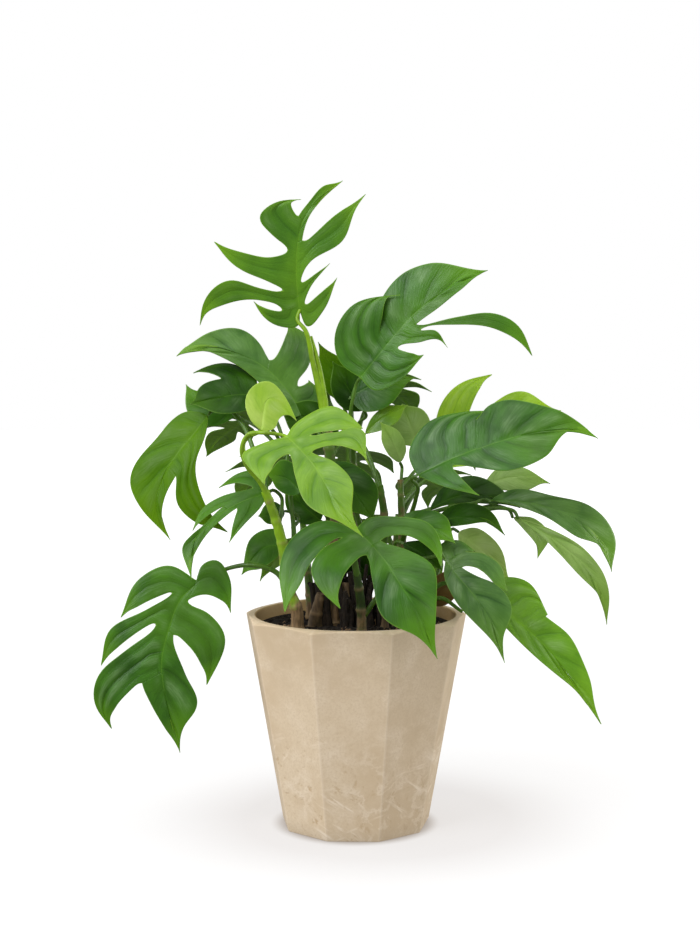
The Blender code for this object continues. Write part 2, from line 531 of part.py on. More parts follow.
VINES = {
    "vine_left": Vine(
        [
            (-50, -30, 191), (-56, -31, 208), (-59, -33, 228),
            (-62, -35, 249), (-69, -38, 276), (-76, -42, 296),
        ],
        (6.0, 3.6),
        [
            Stalk("leaf_bright", 2.6, [
                (-70, -39, 281), (-80, -47, 304), (-90, -58, 318),
                (-94, -68, 333), (-88, -78, 346), (-74, -88, 348),
            ]),
            Stalk("leaf_bright_upper", 2.0, [(-93, -64, 329), (-93, -60, 338), (-87, -62, 345)]),
            Stalk("leaf_low_left", 2.6, [
                (-56, -31, 207), (-67, -25, 224), (-87, -26, 231), (-108, -22, 228), (-124, -22, 222),
            ]),
            Stalk("leaf_left_low", 1.8, [(-59, -33, 228), (-50, -18, 234), (-46, -2, 240)]),
            Stalk("leaf_left_thin", 2.0, [(-66, -37, 264), (-63, -28, 278), (-64, -20, 290)]),
            Stalk("leaf_left_droop", 2.4, [
                (-75, -41, 293), (-84, -30, 322), (-98, -14, 352), (-113, -6, 365),
            ]),
            Stalk("leaf_left_dark", 2.4, [
                (-58, -32, 222), (-53, -24, 249), (-56, -14, 290), (-62, 0, 335), (-73, 6, 362),
            ]),
            Stalk("leaf_far_left", 1.8, [(-60, -4, 322), (-78, 16, 340), (-94, 32, 350)]),
            Stalk("leaf_left_small", 1.6, [(-54, -20, 262), (-49, -10, 270)]),
        ],
    ),
    "vine_top": Vine(
        [(-19, 0, 200), (-20, 0, 240), (-21, 0, 280), (-22, 0, 319), (-25, 0, 350)],
        (6.0, 4.6),
        [
            Stalk("leaf_top", 4.2, [(-24, 0, 342), (-31, 0, 380), (-37, -1, 406), (-43, -4, 431)]),
            Stalk("sheath", 3.4, [(-24, 0, 345), (-26, 3, 371), (-32, 6, 405), (-39, 7, 428)]),
            Stalk("leaf_left_upper", 2.4, [(-22, 0, 322), (-31, 14, 340), (-40, 22, 350)]),
            Stalk("leaf_centre_dark", 2.0, [(-21, 0, 296), (-23, -8, 308)]),
            Stalk("leaf_centre_left", 1.8, [(-20, 0, 262), (-30, -10, 278)]),
        ],
    ),
    "vine_front": Vine(
        [(5, -50, 190), (4, -51, 205), (1, -55, 228)],
        (4.6, 3.4),
        [
            Stalk("leaf_low_centre", 3.0, [(1.5, -54, 224), (-2, -66, 248), (-3, -78, 262)]),
            Stalk("leaf_low_right", 2.4, [
                (5, -50, 188), (16, -50, 204), (30, -48, 222), (45, -44, 235), (62, -50, 241),
            ]),
        ],
    ),
    "vine_right": Vine(
        [(22, 8, 190), (23, 6, 232), (25, 2, 270), (21, 0, 297)],
        (5.0, 3.0),
        [
            Stalk("leaf_top_back", 2.4, [(22, 0, 292), (10, 14, 325), (-6, 34, 352)]),
            Stalk("leaf_upper_right", 2.6, [
                (22.5, 7, 216), (8, 2, 250), (-4, -4, 300), (-6, -8, 345), (-2, -14, 374),
            ]),
            Stalk("leaf_centre_top", 1.8, [(15.5, 7, 310), (6, 24, 328)]),
        ],
    ),
    "vine_mid_right": Vine(
        [(38, 22, 190), (41, 10, 231), (40, 2, 270), (39, 2, 302)],
        (5.0, 2.6),
        [
            Stalk("leaf_right_big", 2.6, [(40.5, 6, 246), (46, -18, 269), (51, -32, 288), (52, -42, 301)]),
            Stalk("leaf_right_back", 2.2, [(40, 2, 280), (52, 18, 292), (70, 30, 303)]),
            Stalk("leaf_right_arch", 2.2, [(46, -14, 265), (62, -20, 274), (84, -22, 281), (102, -21, 284)]),
            Stalk("leaf_right_under", 1.8, [(96, -22, 283), (110, -25, 279), (124, -27, 280)]),
            Stalk("leaf_right_small", 1.8, [(92, -22, 282.5), (106, -14, 279), (121, -6, 280)]),
            Stalk("leaf_right_mid", 1.8, [(40, 3, 262), (50, 1, 269)]),
            Stalk("leaf_right_back_low", 1.8, [(40, 2, 270), (62, 14, 274), (88, 16, 284)]),
            Stalk("leaf_pale_low", 1.6, [(39.5, 2, 290), (40, 4, 305)]),
            Stalk("leaf_pale_high", 1.8, [(39.5, 2, 296), (50, 30, 304), (58, 44, 314)]),
        ],
    ),
    "vine_low_right": Vine(
        [(56, -18, 186), (58, -20, 196), (62, -22, 212)],
        (3.6, 2.6),
        [
            Stalk("leaf_low_right_light", 2.2, [(60, -21, 205), (76, -23, 215), (96, -26, 213)]),
            Stalk("leaf_light_back", 1.8, [(58.5, -20, 198), (74, 6, 226), (80, 22, 246)]),
            Stalk("leaf_low_dim", 1.8, [(57, -19, 193), (40, -16, 226), (33, -14, 243)]),
            Stalk("leaf_blade_dark", 1.8, [(59, -20.5, 200), (66, -10, 236), (66, -21, 257)]),
            Stalk("leaf_mid_right", 1.8, [(56, -18, 187), (38, -28, 232), (29, -34, 256)]),
            Stalk("small shoot", 2.4, [(57, -19, 190), (72, -28, 203), (91, -34, 192)]),
        ],
    ),
    "vine_back": Vine(
        [(0, 45, 190), (-1, 50, 235), (-2, 52, 280), (-2, 50, 330), (-4, 50, 356)],
        (5.0, 2.6),
        [
            Stalk("leaf_top_left_back", 2.0, [(-3, 50, 350)]),
            Stalk("leaf_back_middle", 2.2, [(-1.5, 51, 262), (-2, 66, 292), (-2, 84, 312)]),
            Stalk("leaf_back_high", 2.2, [(-2, 50, 320), (6, 58, 352), (15, 70, 376)]),
            Stalk("leaf_back_inner", 2.0, [(-2, 51, 318), (-14, 58, 350), (-24, 68, 370)]),
            Stalk("leaf_back_low", 2.0, [(-0.5, 48, 214), (4, 70, 236), (7, 86, 250)]),
        ],
    ),
    "vine_back_right": Vine(
        [(34, 52, 188), (36, 54, 226), (39, 56, 266)],
        (4.6, 2.8),
        [
            Stalk("leaf_back_right", 2.2, [(38, 55.5, 252), (48, 68, 274), (57, 79, 289)]),
            Stalk("leaf_back_far_right", 2.2, [(38, 55.5, 258), (58, 56, 298), (84, 58, 322)]),
            Stalk("leaf_back_low_right", 2.0, [(35, 53, 212), (41, 68, 226)]),
        ],
    ),
    "vine_back_left": Vine(
        [(-40, 30, 188), (-43, 36, 225), (-47, 44, 262)],
        (4.6, 2.8),
        [
            Stalk("leaf_back_left", 2.4, [(-45.5, 41, 248), (-49, 54, 280), (-55, 70, 306)]),
            Stalk("leaf_back_far_left", 2.2, [(-46, 42, 252), (-58, 44, 308), (-78, 50, 346)]),
            Stalk("leaf_back_low_left", 2.0, [(-42, 34, 214), (-44, 56, 230)]),
        ],
    ),
}

# The blades' colours by name, and which leaf has which
TONES = {
    "mature": ("Mature blade", (0.035, 0.13, 0.02), 0.36),
    "young": ("Young blade", (0.22, 0.46, 0.03), 0.36),
    "fresh": ("Fresh blade", (0.09, 0.27, 0.025), 0.36),
    "pale": ("Pale underside", (0.16, 0.3, 0.05), 0.45),
}
TONE_OF = {
    "leaf_bright": "young",
    "leaf_bright_upper": "young",
    "leaf_top": "fresh",
    "leaf_centre_top": "young",
    "leaf_left_droop": "fresh",
    "leaf_low_right_light": "fresh",
    "leaf_right_back": "young",
    "leaf_right_under": "pale",
    "leaf_right_small": "pale",
    "leaf_left_low": "pale",
    "leaf_light_back": "pale",
    "leaf_pale_low": "pale",
    "leaf_pale_high": "pale",
}


def smooth_curve(points, count, start=None):
    """count + 1 points, evenly spaced, on a smooth curve through the given points.

    start is the slope with which the curve leaves its first point."""
    points = np.array(points, float)
    steps = np.linalg.norm(np.diff(points, axis=0), axis=1)
    at = np.concatenate([[0], np.cumsum(steps)])
    slopes = np.gradient(points, at, axis=0)
    if start is not None:
        slopes[0] = start
    fine = np.linspace(0, at[-1], FINE_STEPS * len(steps) + 1)
    piece = np.clip(np.searchsorted(at, fine, side="right") - 1, 0, len(steps) - 1)
    length = steps[piece][:, None]
    t = ((fine - at[piece]) / steps[piece])[:, None]
    path = (
        (2 * t**3 - 3 * t**2 + 1) * points[piece]
        + (t**3 - 2 * t**2 + t) * length * slopes[piece]
        + (3 * t**2 - 2 * t**3) * points[piece + 1]
        + (t**3 - t**2) * length * slopes[piece + 1]
    )
    run = np.concatenate([[0], np.cumsum(np.linalg.norm(np.diff(path, axis=0), axis=1))])
    even = np.linspace(0, run[-1], count + 1)
    return np.stack([np.interp(even, run, path[:, k]) for k in range(path.shape[1])], axis=1)


def on_line(line, share):
    """The point at that share of a line of evenly spaced points."""
    at = share * (len(line) - 1)
    low = min(int(at), len(line) - 2)
    return line[low] + (at - low) * (line[low + 1] - line[low])


def finished(name, bm, material, smooth_angle=SMOOTH_ANGLE):
    """A new object from the bmesh, shaded smooth except at sharp edges."""
    mesh = bpy.data.meshes.new(name)
    bm.to_mesh(mesh)
    bm.free()
    obj = bpy.data.objects.new(name, mesh)
    bpy.context.scene.collection.objects.link(obj)
    mesh.materials.append(material)
    mesh.shade_smooth()
    mesh.set_sharp_from_angle(angle=smooth_angle)
    return obj


def principled(name, colour, roughness):
    material = bpy.data.materials.new(name)
    material.use_nodes = True
    shader = material.node_tree.nodes["Principled BSDF"]
    shader.inputs["Base Color"].default_value = (*colour, 1)
    shader.inputs["Roughness"].default_value = roughness
    shader.inputs["Metallic"].default_value = 0
    return material


class Blade:
    """The frame of one leaf: where a point of its flat outline lies in space."""

    def __init__(self, leaf):
        self.leaf = leaf
        self.base = Vector(leaf.base) * MM
        chord = Vector(leaf.tip) * MM - self.base
        self.length = chord.length
        self.along = chord.normalized()
        face = Vector(leaf.face)
        self.up = (face - self.along * face.dot(self.along)).normalized()
        self.out = self.up.cross(self.along)
        self.rib = smooth_curve([(0, 0), *leaf.rib, (1, 0)], RIB_STEPS)
        self.feet = [self.feet_of(leaf.one), self.feet_of(leaf.other)]
        self.feet[1] = [self.shared(foot) for foot in self.feet[1]]

    def feet_of(self, half):
        """For each notch, the share of the midrib where the blade between the two begins."""
        feet = []
        for lobe in half.lobes:
            spans = np.linalg.norm(self.rib - np.array(lobe.notch), axis=1)
            nearest = int(np.argmin(spans))
            share = nearest / RIB_STEPS - VEIN_SWEEP * spans[nearest]
            feet.append(max(share, feet[-1] + LEAST_FOOT if feet else LEAST_FOOT))
        return feet

    def shared(self, foot):
        """A foot of the second half, moved to one of the first half's if that is close."""
        close = [other for other in self.feet[0] if abs(other - foot) < SAME_FOOT]
        return close[0] if close else foot

    def stations(self):
        """The shares of the midrib where a column of faces starts, for both halves alike."""
        marks = {0.0, 1.0}
        for feet in self.feet:
            starts = [0.0, *feet]
            marks.update(feet)
            marks.update((low + high) / 2 for low, high in zip(starts, feet))
        marks = sorted(marks)
        made = [0.0]
        for low, high in zip(marks, marks[1:]):
            pieces = ceil((high - low) / WIDEST_COLUMN)
            made += [low + (high - low) * (k + 1) / pieces for k in range(pieces)]
        return made

    def place(self, point, foot, lift=0.0):
        """The place in space of a point of the outline, whose vein leaves the midrib at foot."""
        leaf = self.leaf
        a, b = point
        span = np.linalg.norm(np.array(point) - foot)
        height = leaf.fold * span - leaf.droop * span**2 + lift
        half = leaf.arch / 2
        angle = leaf.arch * (a - 0.5)
        reach = 0.5 + sin(angle) / (2 * sin(half)) + height * sin(angle)
        rise = (cos(angle) - cos(half)) / (2 * sin(half)) + height * cos(angle)
        turn = leaf.twist * a
        side = b * cos(turn) - rise * sin(turn)
        rise = b * sin(turn) + rise * cos(turn)
        return self.base + (self.along * reach + self.out * side + self.up * rise) * self.length

    def seat(self):
        """The last two points of a stalk, a gap short of the blade's base, and the way its end faces."""
        half = self.leaf.arch / 2
        normal = (self.up * cos(half) - self.along * sin(half)) * self.leaf.seat
        along = self.along * cos(half) + self.up * sin(half)
        rise = max(self.leaf.seat, 0) * self.leaf.fold * STALK_END_RADIUS
        end = self.base + normal * (BLADE / 2 + SEAT_GAP + rise)
        return [end + normal * SEAT_RISE - along * SEAT_RUN, end], normal


def grid_patch(bm, columns, rows, point_at, flipped):
    """A grid of faces whose corners go where point_at puts column number and outward share."""
    made = bmesh.ops.create_grid(bm, x_segments=columns, y_segments=rows, size=1)
    for vert in made["verts"]:
        vert.co = point_at(round((vert.co.x + 1) / 2 * columns), (vert.co.y + 1) / 2)
    if flipped:
        faces = {face for vert in made["verts"] for face in vert.link_faces}
        bmesh.ops.reverse_faces(bm, faces=list(faces))


def add_lobe(bm, blade, lobe, columns, start, end, flipped):
    """One lobe: a strip from the midrib to its neck, and the lobe from its neck to its tip.

    start and end are its two notches, each as a place and the slope of the margins there."""
    back = smooth_curve([start[0], *lobe.back, lobe.tip], MARGIN_STEPS, start[1])
    front = smooth_curve([end[0], *reversed(lobe.front), lobe.tip], MARGIN_STEPS, -end[1])
    low, high = columns[0], columns[-1]
    feet = [on_line(blade.rib, share) for share in columns]
    middle = on_line(blade.rib, (low + high) / 2)

    def strip(column, outward):
        neck = start[0] + (end[0] - start[0]) * (columns[column] - low) / (high - low)
        return blade.place(feet[column] + (neck - feet[column]) * outward, feet[column])

    def flap(column, outward):
        across = (columns[column] - low) / (high - low)
        first, last = on_line(back, outward), on_line(front, outward)
        foot = feet[column] + (middle - feet[column]) * outward
        return blade.place(first + (last - first) * across, foot, lobe.lift * sin(pi / 2 * outward))

    grid_patch(bm, len(columns) - 1, END_ROWS, strip, flipped)
    grid_patch(bm, len(columns) - 1, LOBE_ROWS, flap, flipped)


def add_half(bm, blade, half, feet, stations):
    """The lobes of one side of the midrib in order, and the blade that ends in the leaf's tip."""
    middle = np.array(half.end[len(half.end) // 2])
    nearest = blade.rib[int(np.argmin(np.linalg.norm(blade.rib - middle, axis=1)))]
    flipped = middle[1] < nearest[1]
    low, start = 0.0, (np.zeros(2), None)
    for lobe, high in zip(half.lobes, feet):
        ahead, behind = min(high + RIB_REACH, 1), max(high - RIB_REACH, 0)
        slope = on_line(blade.rib, ahead) - on_line(blade.rib, behind)
        slope = slope / np.linalg.norm(slope) * SINUS_ROUND
        end = (np.array(lobe.notch), slope)
        columns = [share for share in stations if low - CLOSE <= share <= high + CLOSE]
        add_lobe(bm, blade, lobe, columns, start, end, flipped)
        low, start = high, end
    columns = [share for share in stations if share >= low - CLOSE]
    margin = smooth_curve([start[0], *half.end, (1, 0)], MARGIN_STEPS, start[1])

    def blade_end(column, outward):
        foot = on_line(blade.rib, columns[column])
        edge = on_line(margin, (columns[column] - low) / (1 - low))
        return blade.place(foot + (edge - foot) * outward, foot)

    grid_patch(bm, len(columns) - 1, END_ROWS, blade_end, flipped)


def leaf_blade(name, leaf, material):
    blade = Blade(leaf)
    stations = blade.stations()
    bm = bmesh.new()
    for half, feet in zip((leaf.one, leaf.other), blade.feet):
        add_half(bm, blade, half, feet, stations)
    bmesh.ops.remove_doubles(bm, verts=bm.verts, dist=WELD)
    bmesh.ops.dissolve_degenerate(bm, edges=bm.edges, dist=WELD / 2)
    bmesh.ops.triangulate(bm, faces=bm.faces)
    obj = finished(name, bm, material)
    wall = obj.modifiers.new("Blade", "SOLIDIFY")
    wall.thickness = BLADE
    wall.offset = 0
    return obj


def tube(name, points, radii, sides, material, end_way=None):
    """A closed round bar along a smooth route, from its first to its last radius.

    Its end is square to the route, or faces end_way or against it, whichever is nearer."""
    length = sum((Vector(b) - Vector(a)).length for a, b in zip(points, points[1:]))
    curve = smooth_curve(points, CURVE_STEPS)
    count = max(3, ceil(length / RING_SPACING))
    bend = 1 if end_way is None else 1 - SEAT_RUN / length
    shares = [k / count * bend for k in range(count)] + sorted({bend, 1})
    route = [Vector(on_line(curve, share)) for share in shares]
    bm = bmesh.new()
    way = (route[1] - route[0]).normalized()
    side = way.orthogonal().normalized()
    before = None
    last = len(route) - 1
    for index, centre in enumerate(route):
        ahead = route[min(index + 1, last)] - route[max(index - 1, 0)]
        if index == last and end_way is not None:
            ahead = end_way if ahead.dot(end_way) > 0 else -end_way
        ahead.normalize()
        side.rotate(way.rotation_difference(ahead))
        way = ahead
        other = way.cross(side)
        radius = radii[0] + (radii[1] - radii[0]) * shares[index]
        turns = [2 * pi * k / sides for k in range(sides)]
        ring = [bm.verts.new(centre + (side * cos(t) + other * sin(t)) * radius) for t in turns]
        if before is None:
            bm.faces.new(ring[::-1])
        else:
            for k in range(sides):
                bm.faces.new((before[k], before[k - 1], ring[k - 1], ring[k])[::-1])
        before = ring
    bm.faces.new(before)
    bmesh.ops.triangulate(bm, faces=bm.faces)
    bmesh.ops.recalc_face_normals(bm, faces=bm.faces)
    return finished(name, bm, material)


def joined(obj, others):
    """One body of an object and the tubes that grow from it, which are then removed."""
    group = bpy.data.collections.new(obj.name + " branches")
    bpy.context.scene.collection.children.link(group)
    for other in others:
        bpy.context.scene.collection.objects.unlink(other)
        group.objects.link(other)
    union = obj.modifiers.new("Branches", "BOOLEAN")
    union.operation = "UNION"
    union.operand_type = "COLLECTION"
    union.collection = group
    union.solver = "EXACT"
    bpy.context.view_layer.update()
    graph = bpy.context.evaluated_depsgraph_get()
    mesh = bpy.data.meshes.new_from_object(obj.evaluated_get(graph))
    obj.modifiers.clear()
    obj.data = mesh
    for other in others:
        bpy.data.objects.remove(other)
    bpy.data.collections.remove(group)
    return obj


def vine(name, plan, material):
    """A stem that stands in the soil, with the stalks of its leaves grown out of it."""
    x, y, _ = plan.stem[0]
    foot = [(x, y, (SOIL_LEVEL - STEM_DEPTH) / MM), (x, y, SOIL_LEVEL / MM)]
    route = [Vector(point) * MM for point in [*foot, *plan.stem]]
    stem = tube(name, route, [radius * MM for radius in plan.radii], STEM_SIDES, material)
    stalks = []
    for stalk in plan.stalks:
        points = [Vector(point) * MM for point in stalk.route]
        end_way = None
        if stalk.leaf in LEAVES:
            seat, end_way = Blade(LEAVES[stalk.leaf]).seat()
            points += seat
        radii = (stalk.radius * MM, STALK_END_RADIUS)
        stalks.append(tube(f"{name} {stalk.leaf}", points, radii, STALK_SIDES, material, end_way))
    return joined(stem, stalks)


def pot_angles():
    """The angles round the pot where an outline has a point: five to each facet."""
    step = 2 * pi / POT_SIDES
    inner, outer = POT_FACET_SHARE, 0.5 - POT_CORNER_SHARE
    shares = (-0.5, -outer, -inner, inner, outer)
    return [POT_TURN + step * (side + share) for side in range(POT_SIDES) for share in shares]


def facet_radius(angle, corner):
    """The radius, at an angle, of a nine-sided outline whose corners are a little rounded."""
    step = 2 * pi / POT_SIDES
    off = (angle - POT_TURN + step / 2) % step - step / 2
    flat = corner * cos(step / 2) / cos(off)
    return min(flat, corner - POT_CORNER_CUT)


def ring(bm, height, radius_at):
    """A closed loop of points at one height. Angle 0 faces the front."""
    made = []
    for angle in pot_angles():
        radius = radius_at(angle)
        made.append(bm.verts.new((radius * sin(angle), -radius * cos(angle), height)))
    return made


def lofted(rings, bm):
    """Faces between each ring and the next, and a face over the first and the last."""
    for low, high in zip(rings, rings[1:]):
        for k in range(len(low)):
            bm.faces.new((low[k - 1], low[k], high[k], high[k - 1]))
    bm.faces.new(rings[0])
    bm.faces.new(rings[-1])
    bmesh.ops.triangulate(bm, faces=bm.faces)
    bmesh.ops.recalc_face_normals(bm, faces=bm.faces)


def inner_radius(height):
    """The radius of the round hollow at a height."""
    share = (height - POT_FLOOR) / (POT_HEIGHT - POT_FLOOR)
    return POT_FLOOR_RADIUS + (POT_MOUTH_RADIUS - POT_FLOOR_RADIUS) * share


def soil_radius(height):
    return inner_radius(height) - SOIL_GAP


def pot(material):
    """Nine leaning facets outside, a round hollow inside, and softened rim and foot."""

    def facets(height, inset):
        corner = POT_FOOT_CORNER + (POT_RIM_CORNER - POT_FOOT_CORNER) * height / POT_HEIGHT
        return lambda angle: facet_radius(angle, corner) - inset

    def hollow(height, inset):
        return lambda angle: inner_radius(height) - inset

    bm = bmesh.new()
    top, rim, foot = POT_HEIGHT, POT_RIM_ROUND, POT_FOOT_ROUND
    rings = [
        ring(bm, 0, facets(0, foot)),
        ring(bm, foot, facets(foot, 0)),
        ring(bm, top - rim, facets(top - rim, 0)),
        ring(bm, top - rim * RIM_BEND, facets(top, rim * RIM_BEND)),
        ring(bm, top, facets(top, rim)),
        ring(bm, top, hollow(top, -rim)),
        ring(bm, top - rim, hollow(top - rim, 0)),
        ring(bm, POT_FLOOR, hollow(POT_FLOOR, 0)),
    ]
    lofted(rings, bm)
    return finished("pot", bm, material, SMOOTH_ANGLE / 2)


def soil(material, vines):
    """The filling, up to a little under the rim, with a plain hole for each stem's foot."""
    bm = bmesh.new()
    low = POT_FLOOR + GAP
    rings = [ring(bm, low, lambda angle: soil_radius(low))]
    for share in SOIL_RINGS:
        rings.append(ring(bm, SOIL_LEVEL, lambda angle: soil_radius(SOIL_LEVEL) * share))
    across, along, aslant = SOIL_WAVES
    for loop in rings[2:]:
        for vert in loop:
            x, y, _ = vert.co
            vert.co.z += SOIL_RELIEF * (sin(x / across) * cos(y / along) - 0.5 * sin((x + y) / aslant))
    lofted(rings, bm)
    obj = finished("soil", bm, material)
    for name, plan in vines.items():
        x, y, _ = plan.stem[0]
        radius = plan.radii[0] * MM + HOLE_SPARE
        depth = STEM_DEPTH + HOLE_SPARE
        drill = bmesh.new()
        bmesh.ops.create_cone(
            drill, cap_ends=True, segments=HOLE_SIDES, radius1=radius, radius2=radius,
            depth=2 * depth, matrix=Matrix.Translation((x * MM, y * MM, SOIL_LEVEL)),
        )
        cutter = finished(f"{name} hole", drill, material)
        cutter.hide_render = True
        cutter.display_type = "WIRE"
        cut = obj.modifiers.new(f"{name} hole", "BOOLEAN")
        cut.operation = "DIFFERENCE"
        cut.object = cutter
    return obj


def main():
    for obj in list(bpy.data.objects):
        bpy.data.objects.remove(obj)
    stone = principled("Stone mix", (0.58, 0.46, 0.31), 0.75)
    earth = principled("Potting soil", (0.02, 0.013, 0.008), 0.95)
    bark = principled("Stem and stalk", (0.16, 0.28, 0.04), 0.45)
    tones = {tone: principled(*finish) for tone, finish in TONES.items()}
    pot(stone)
    soil(earth, VINES)
    for name, plan in VINES.items():
        vine(name, plan, bark)
    for name, leaf in LEAVES.items():
        leaf_blade(name, leaf, tones[TONE_OF.get(name, "mature")])


main()
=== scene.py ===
"""Potted mini monstera, dressed for the photograph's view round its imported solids.

Metres, +Z up, the front faces -Y. Every leaf blade, stem, the soil and the pot is one piece.
"""

from collections import namedtuple
from math import ceil, cos, exp, floor, pi, radians, sin, sqrt
import bmesh
import bpy
import numpy as np
from bpy.props import FloatProperty, FloatVectorProperty, IntProperty, PointerProperty
from mathutils import Matrix, Vector, noise


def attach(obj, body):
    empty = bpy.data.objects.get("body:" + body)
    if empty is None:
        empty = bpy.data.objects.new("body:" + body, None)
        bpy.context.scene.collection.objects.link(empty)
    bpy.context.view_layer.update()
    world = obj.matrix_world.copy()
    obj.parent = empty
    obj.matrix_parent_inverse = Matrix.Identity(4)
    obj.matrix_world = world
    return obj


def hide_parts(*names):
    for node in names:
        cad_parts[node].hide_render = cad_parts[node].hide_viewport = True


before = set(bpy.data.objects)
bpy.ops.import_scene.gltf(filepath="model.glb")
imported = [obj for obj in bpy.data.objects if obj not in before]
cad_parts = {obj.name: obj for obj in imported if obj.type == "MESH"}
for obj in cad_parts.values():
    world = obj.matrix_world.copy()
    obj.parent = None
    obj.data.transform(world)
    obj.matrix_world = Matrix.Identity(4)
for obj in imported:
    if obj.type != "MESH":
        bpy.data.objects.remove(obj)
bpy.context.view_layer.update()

bl_info = {
    "name": "Potted Mini Monstera",
    "version": (1, 0, 0),
    "blender": (4, 5, 0),
    "location": "View3D > Sidebar > Planter",
    "description": "Builds a climbing plant with split leaves in a nine-sided stone pot",
    "category": "Add Mesh",
}

MM = 0.001

# The pot, as in the solids
POT_HEIGHT = 185 * MM
POT_SIDES = 9
POT_TURN = radians(-2)
POT_RIM_CORNER = 98.9 * MM
POT_FOOT_CORNER = 65.3 * MM
POT_RIM_ROUND = 1.4 * MM
POT_FOOT_ROUND = 1.2 * MM
POT_MOUTH_RADIUS = 86.5 * MM
POT_FLOOR_RADIUS = 56 * MM
POT_FLOOR = 9 * MM
# The round lip that cuts the corners off at the rim, and how far down it reaches
LIP_RADIUS = 93.6 * MM
LIP_SLOPE = 1.9
LIP_BLEND = 0.5 * MM
LIP_REACH = 8 * MM
# Below the lip's reach, and within it, the wall has this many bands of faces
POT_BANDS = 14

# The soil and the depth at which stems stand in it, as in the solids
SOIL_LEVEL = 175 * MM
STEM_DEPTH = 26 * MM
SOIL_GAP = 0.36 * MM
SOIL_FOOT = 9.3 * MM

# The soil's surface: its lumps and its grains in millimetres, how steeply they begin at the wall,
# and the columns of its grid
SOIL_LUMPS = 2.2
SOIL_GRAINS = 0.9
SOIL_RISE = 14
SOIL_COLUMNS = 110

# Loose crumbs: how far they stay off the wall, their sizes, how uneven they are, and the share of
# pale bark chips
CRUMB_MARGIN = 3.5 * MM
CRUMB_SIZES = (0.8 * MM, 2.2 * MM)
CRUMB_UNEVEN = 0.12
CHIP_SHARE = 0.16

# Thin dark roots, painted shade in the gap between the stems' feet: how far below the soil they start,
# how high they stand in the middle, and their radii
ROOT_DEPTH = 5 * MM
ROOT_HEIGHTS = (30 * MM, 66 * MM)
ROOT_RADII = (1.6 * MM, 3.6 * MM)

# The foliage, as in the solids
BLADE_SOLID = 0.8 * MM
STALK_END_RADIUS = 1.4 * MM
SEAT_GAP = 0.45 * MM
SEAT_RISE = 2.4 * MM
SEAT_RUN = 6 * MM
VEIN_SWEEP = 0.25
SINUS_ROUND = 0.7
RIB_REACH = 0.03
LEAST_FOOT = 0.045
SAME_FOOT = 0.04
RIB_STEPS = 40
MARGIN_STEPS = 40
FINE_STEPS = 24
CLOSE = 1e-6

# The groove along a midrib, and the strip beside it in which the waves begin
GROOVE_DEPTH = 0.45 * MM
GROOVE_WIDTH = 1.3 * MM
CALM_STRIP = 8 * MM

# How bold side veins are and how much that varies, and in how many vein spacings from the midrib
# and from the margin the quilting begins
VEIN_BOLD = 0.65
VEIN_VARIES = 0.7
QUILT_FROM_RIB = 0.4
QUILT_FROM_EDGE = 0.7

# How finely the blades are drawn here
COLUMN = 2.0 * MM
STRIP_ROWS = 4
LOBE_ROWS = 14
END_ROWS = 12
WELD = 0.02 * MM

# How far the side veins of a blade's end lean forward and bow, and how its tips narrow and hang
VEIN_LEAN = 2.3
VEIN_BOW = 0.1
DRIP_START = 0.62
DRIP_DEPTH = 0.5
TIP_CURL = 0.02
TIP_START = 0.45

# A lobe's outline in leaf lengths, as (along, out) points: the margin nearer the stalk, the tip, the
# margin nearer the leaf's end, the notch that parts it from the next lobe, and how far it lifts
Lobe = namedtuple("Lobe", "back tip front notch lift", defaults=(0.0,))
# One half of a blade: its lobes in order, and the margin that runs on to the leaf's tip
Half = namedtuple("Half", "lobes end")
# A leaf: base and tip in millimetres, the way its upper face looks, its midrib and two halves, how
# much it arches, twists, folds up and droops, and its stalk's side (1 upper face, -1 underside)
Leaf = namedtuple(
    "Leaf",
    "base tip face rib one other arch twist fold droop seat",
    defaults=(0.35, 0.0, 0.12, 0.3, -1),
)
# A leaf stalk: the leaf that it carries, or its own name if it carries none, its radius where it
# leaves the stem, and its route from there to just before the leaf's base, in millimetres
Stalk = namedtuple("Stalk", "leaf radius route")
# A stem from the soil up, its radius at the soil and at its end, and the stalks that grow from it
Vine = namedtuple("Vine", "stem radii stalks")

NARROW = Half([], [(0.25, 0.15), (0.6, 0.17), (0.88, 0.06)])
NARROW_BACK = Half([], [(0.25, -0.15), (0.6, -0.17), (0.88, -0.06)])

BROAD = Half(
    [
        Lobe([(-0.13, 0.12), (-0.02, 0.38)], (0.3, 0.46), [(0.2, 0.26)], (0.2, 0.1)),
        Lobe([(0.32, 0.28)], (0.62, 0.42), [(0.47, 0.22)], (0.44, 0.1)),
    ],
    [(0.62, 0.2), (0.84, 0.13)],
)
BROAD_BACK = Half(
    [
        Lobe([(-0.13, -0.12), (-0.02, -0.36)], (0.28, -0.47), [(0.2, -0.27)], (0.2, -0.1)),
        Lobe([(0.3, -0.29)], (0.6, -0.44), [(0.46, -0.24)], (0.43, -0.11)),
    ],
    [(0.62, -0.22), (0.84, -0.12)],
)
STRAIGHT_RIB = [(0.35, 0.02), (0.7, 0.02)]


def uncut_leaf(base, tip, face, rib, one, other, **form):
    """A leaf whose halves have no lobes."""
    return Leaf(base, tip, face, rib, Half([], one), Half([], other), **form)


def back_leaf(base, tip, face, one=BROAD, other=BROAD_BACK):
    """A leaf of the hidden side, in a shape that the plant repeats."""
    return Leaf(base, tip, face, STRAIGHT_RIB, one, other, arch=0.5, fold=0.16, droop=0.35)


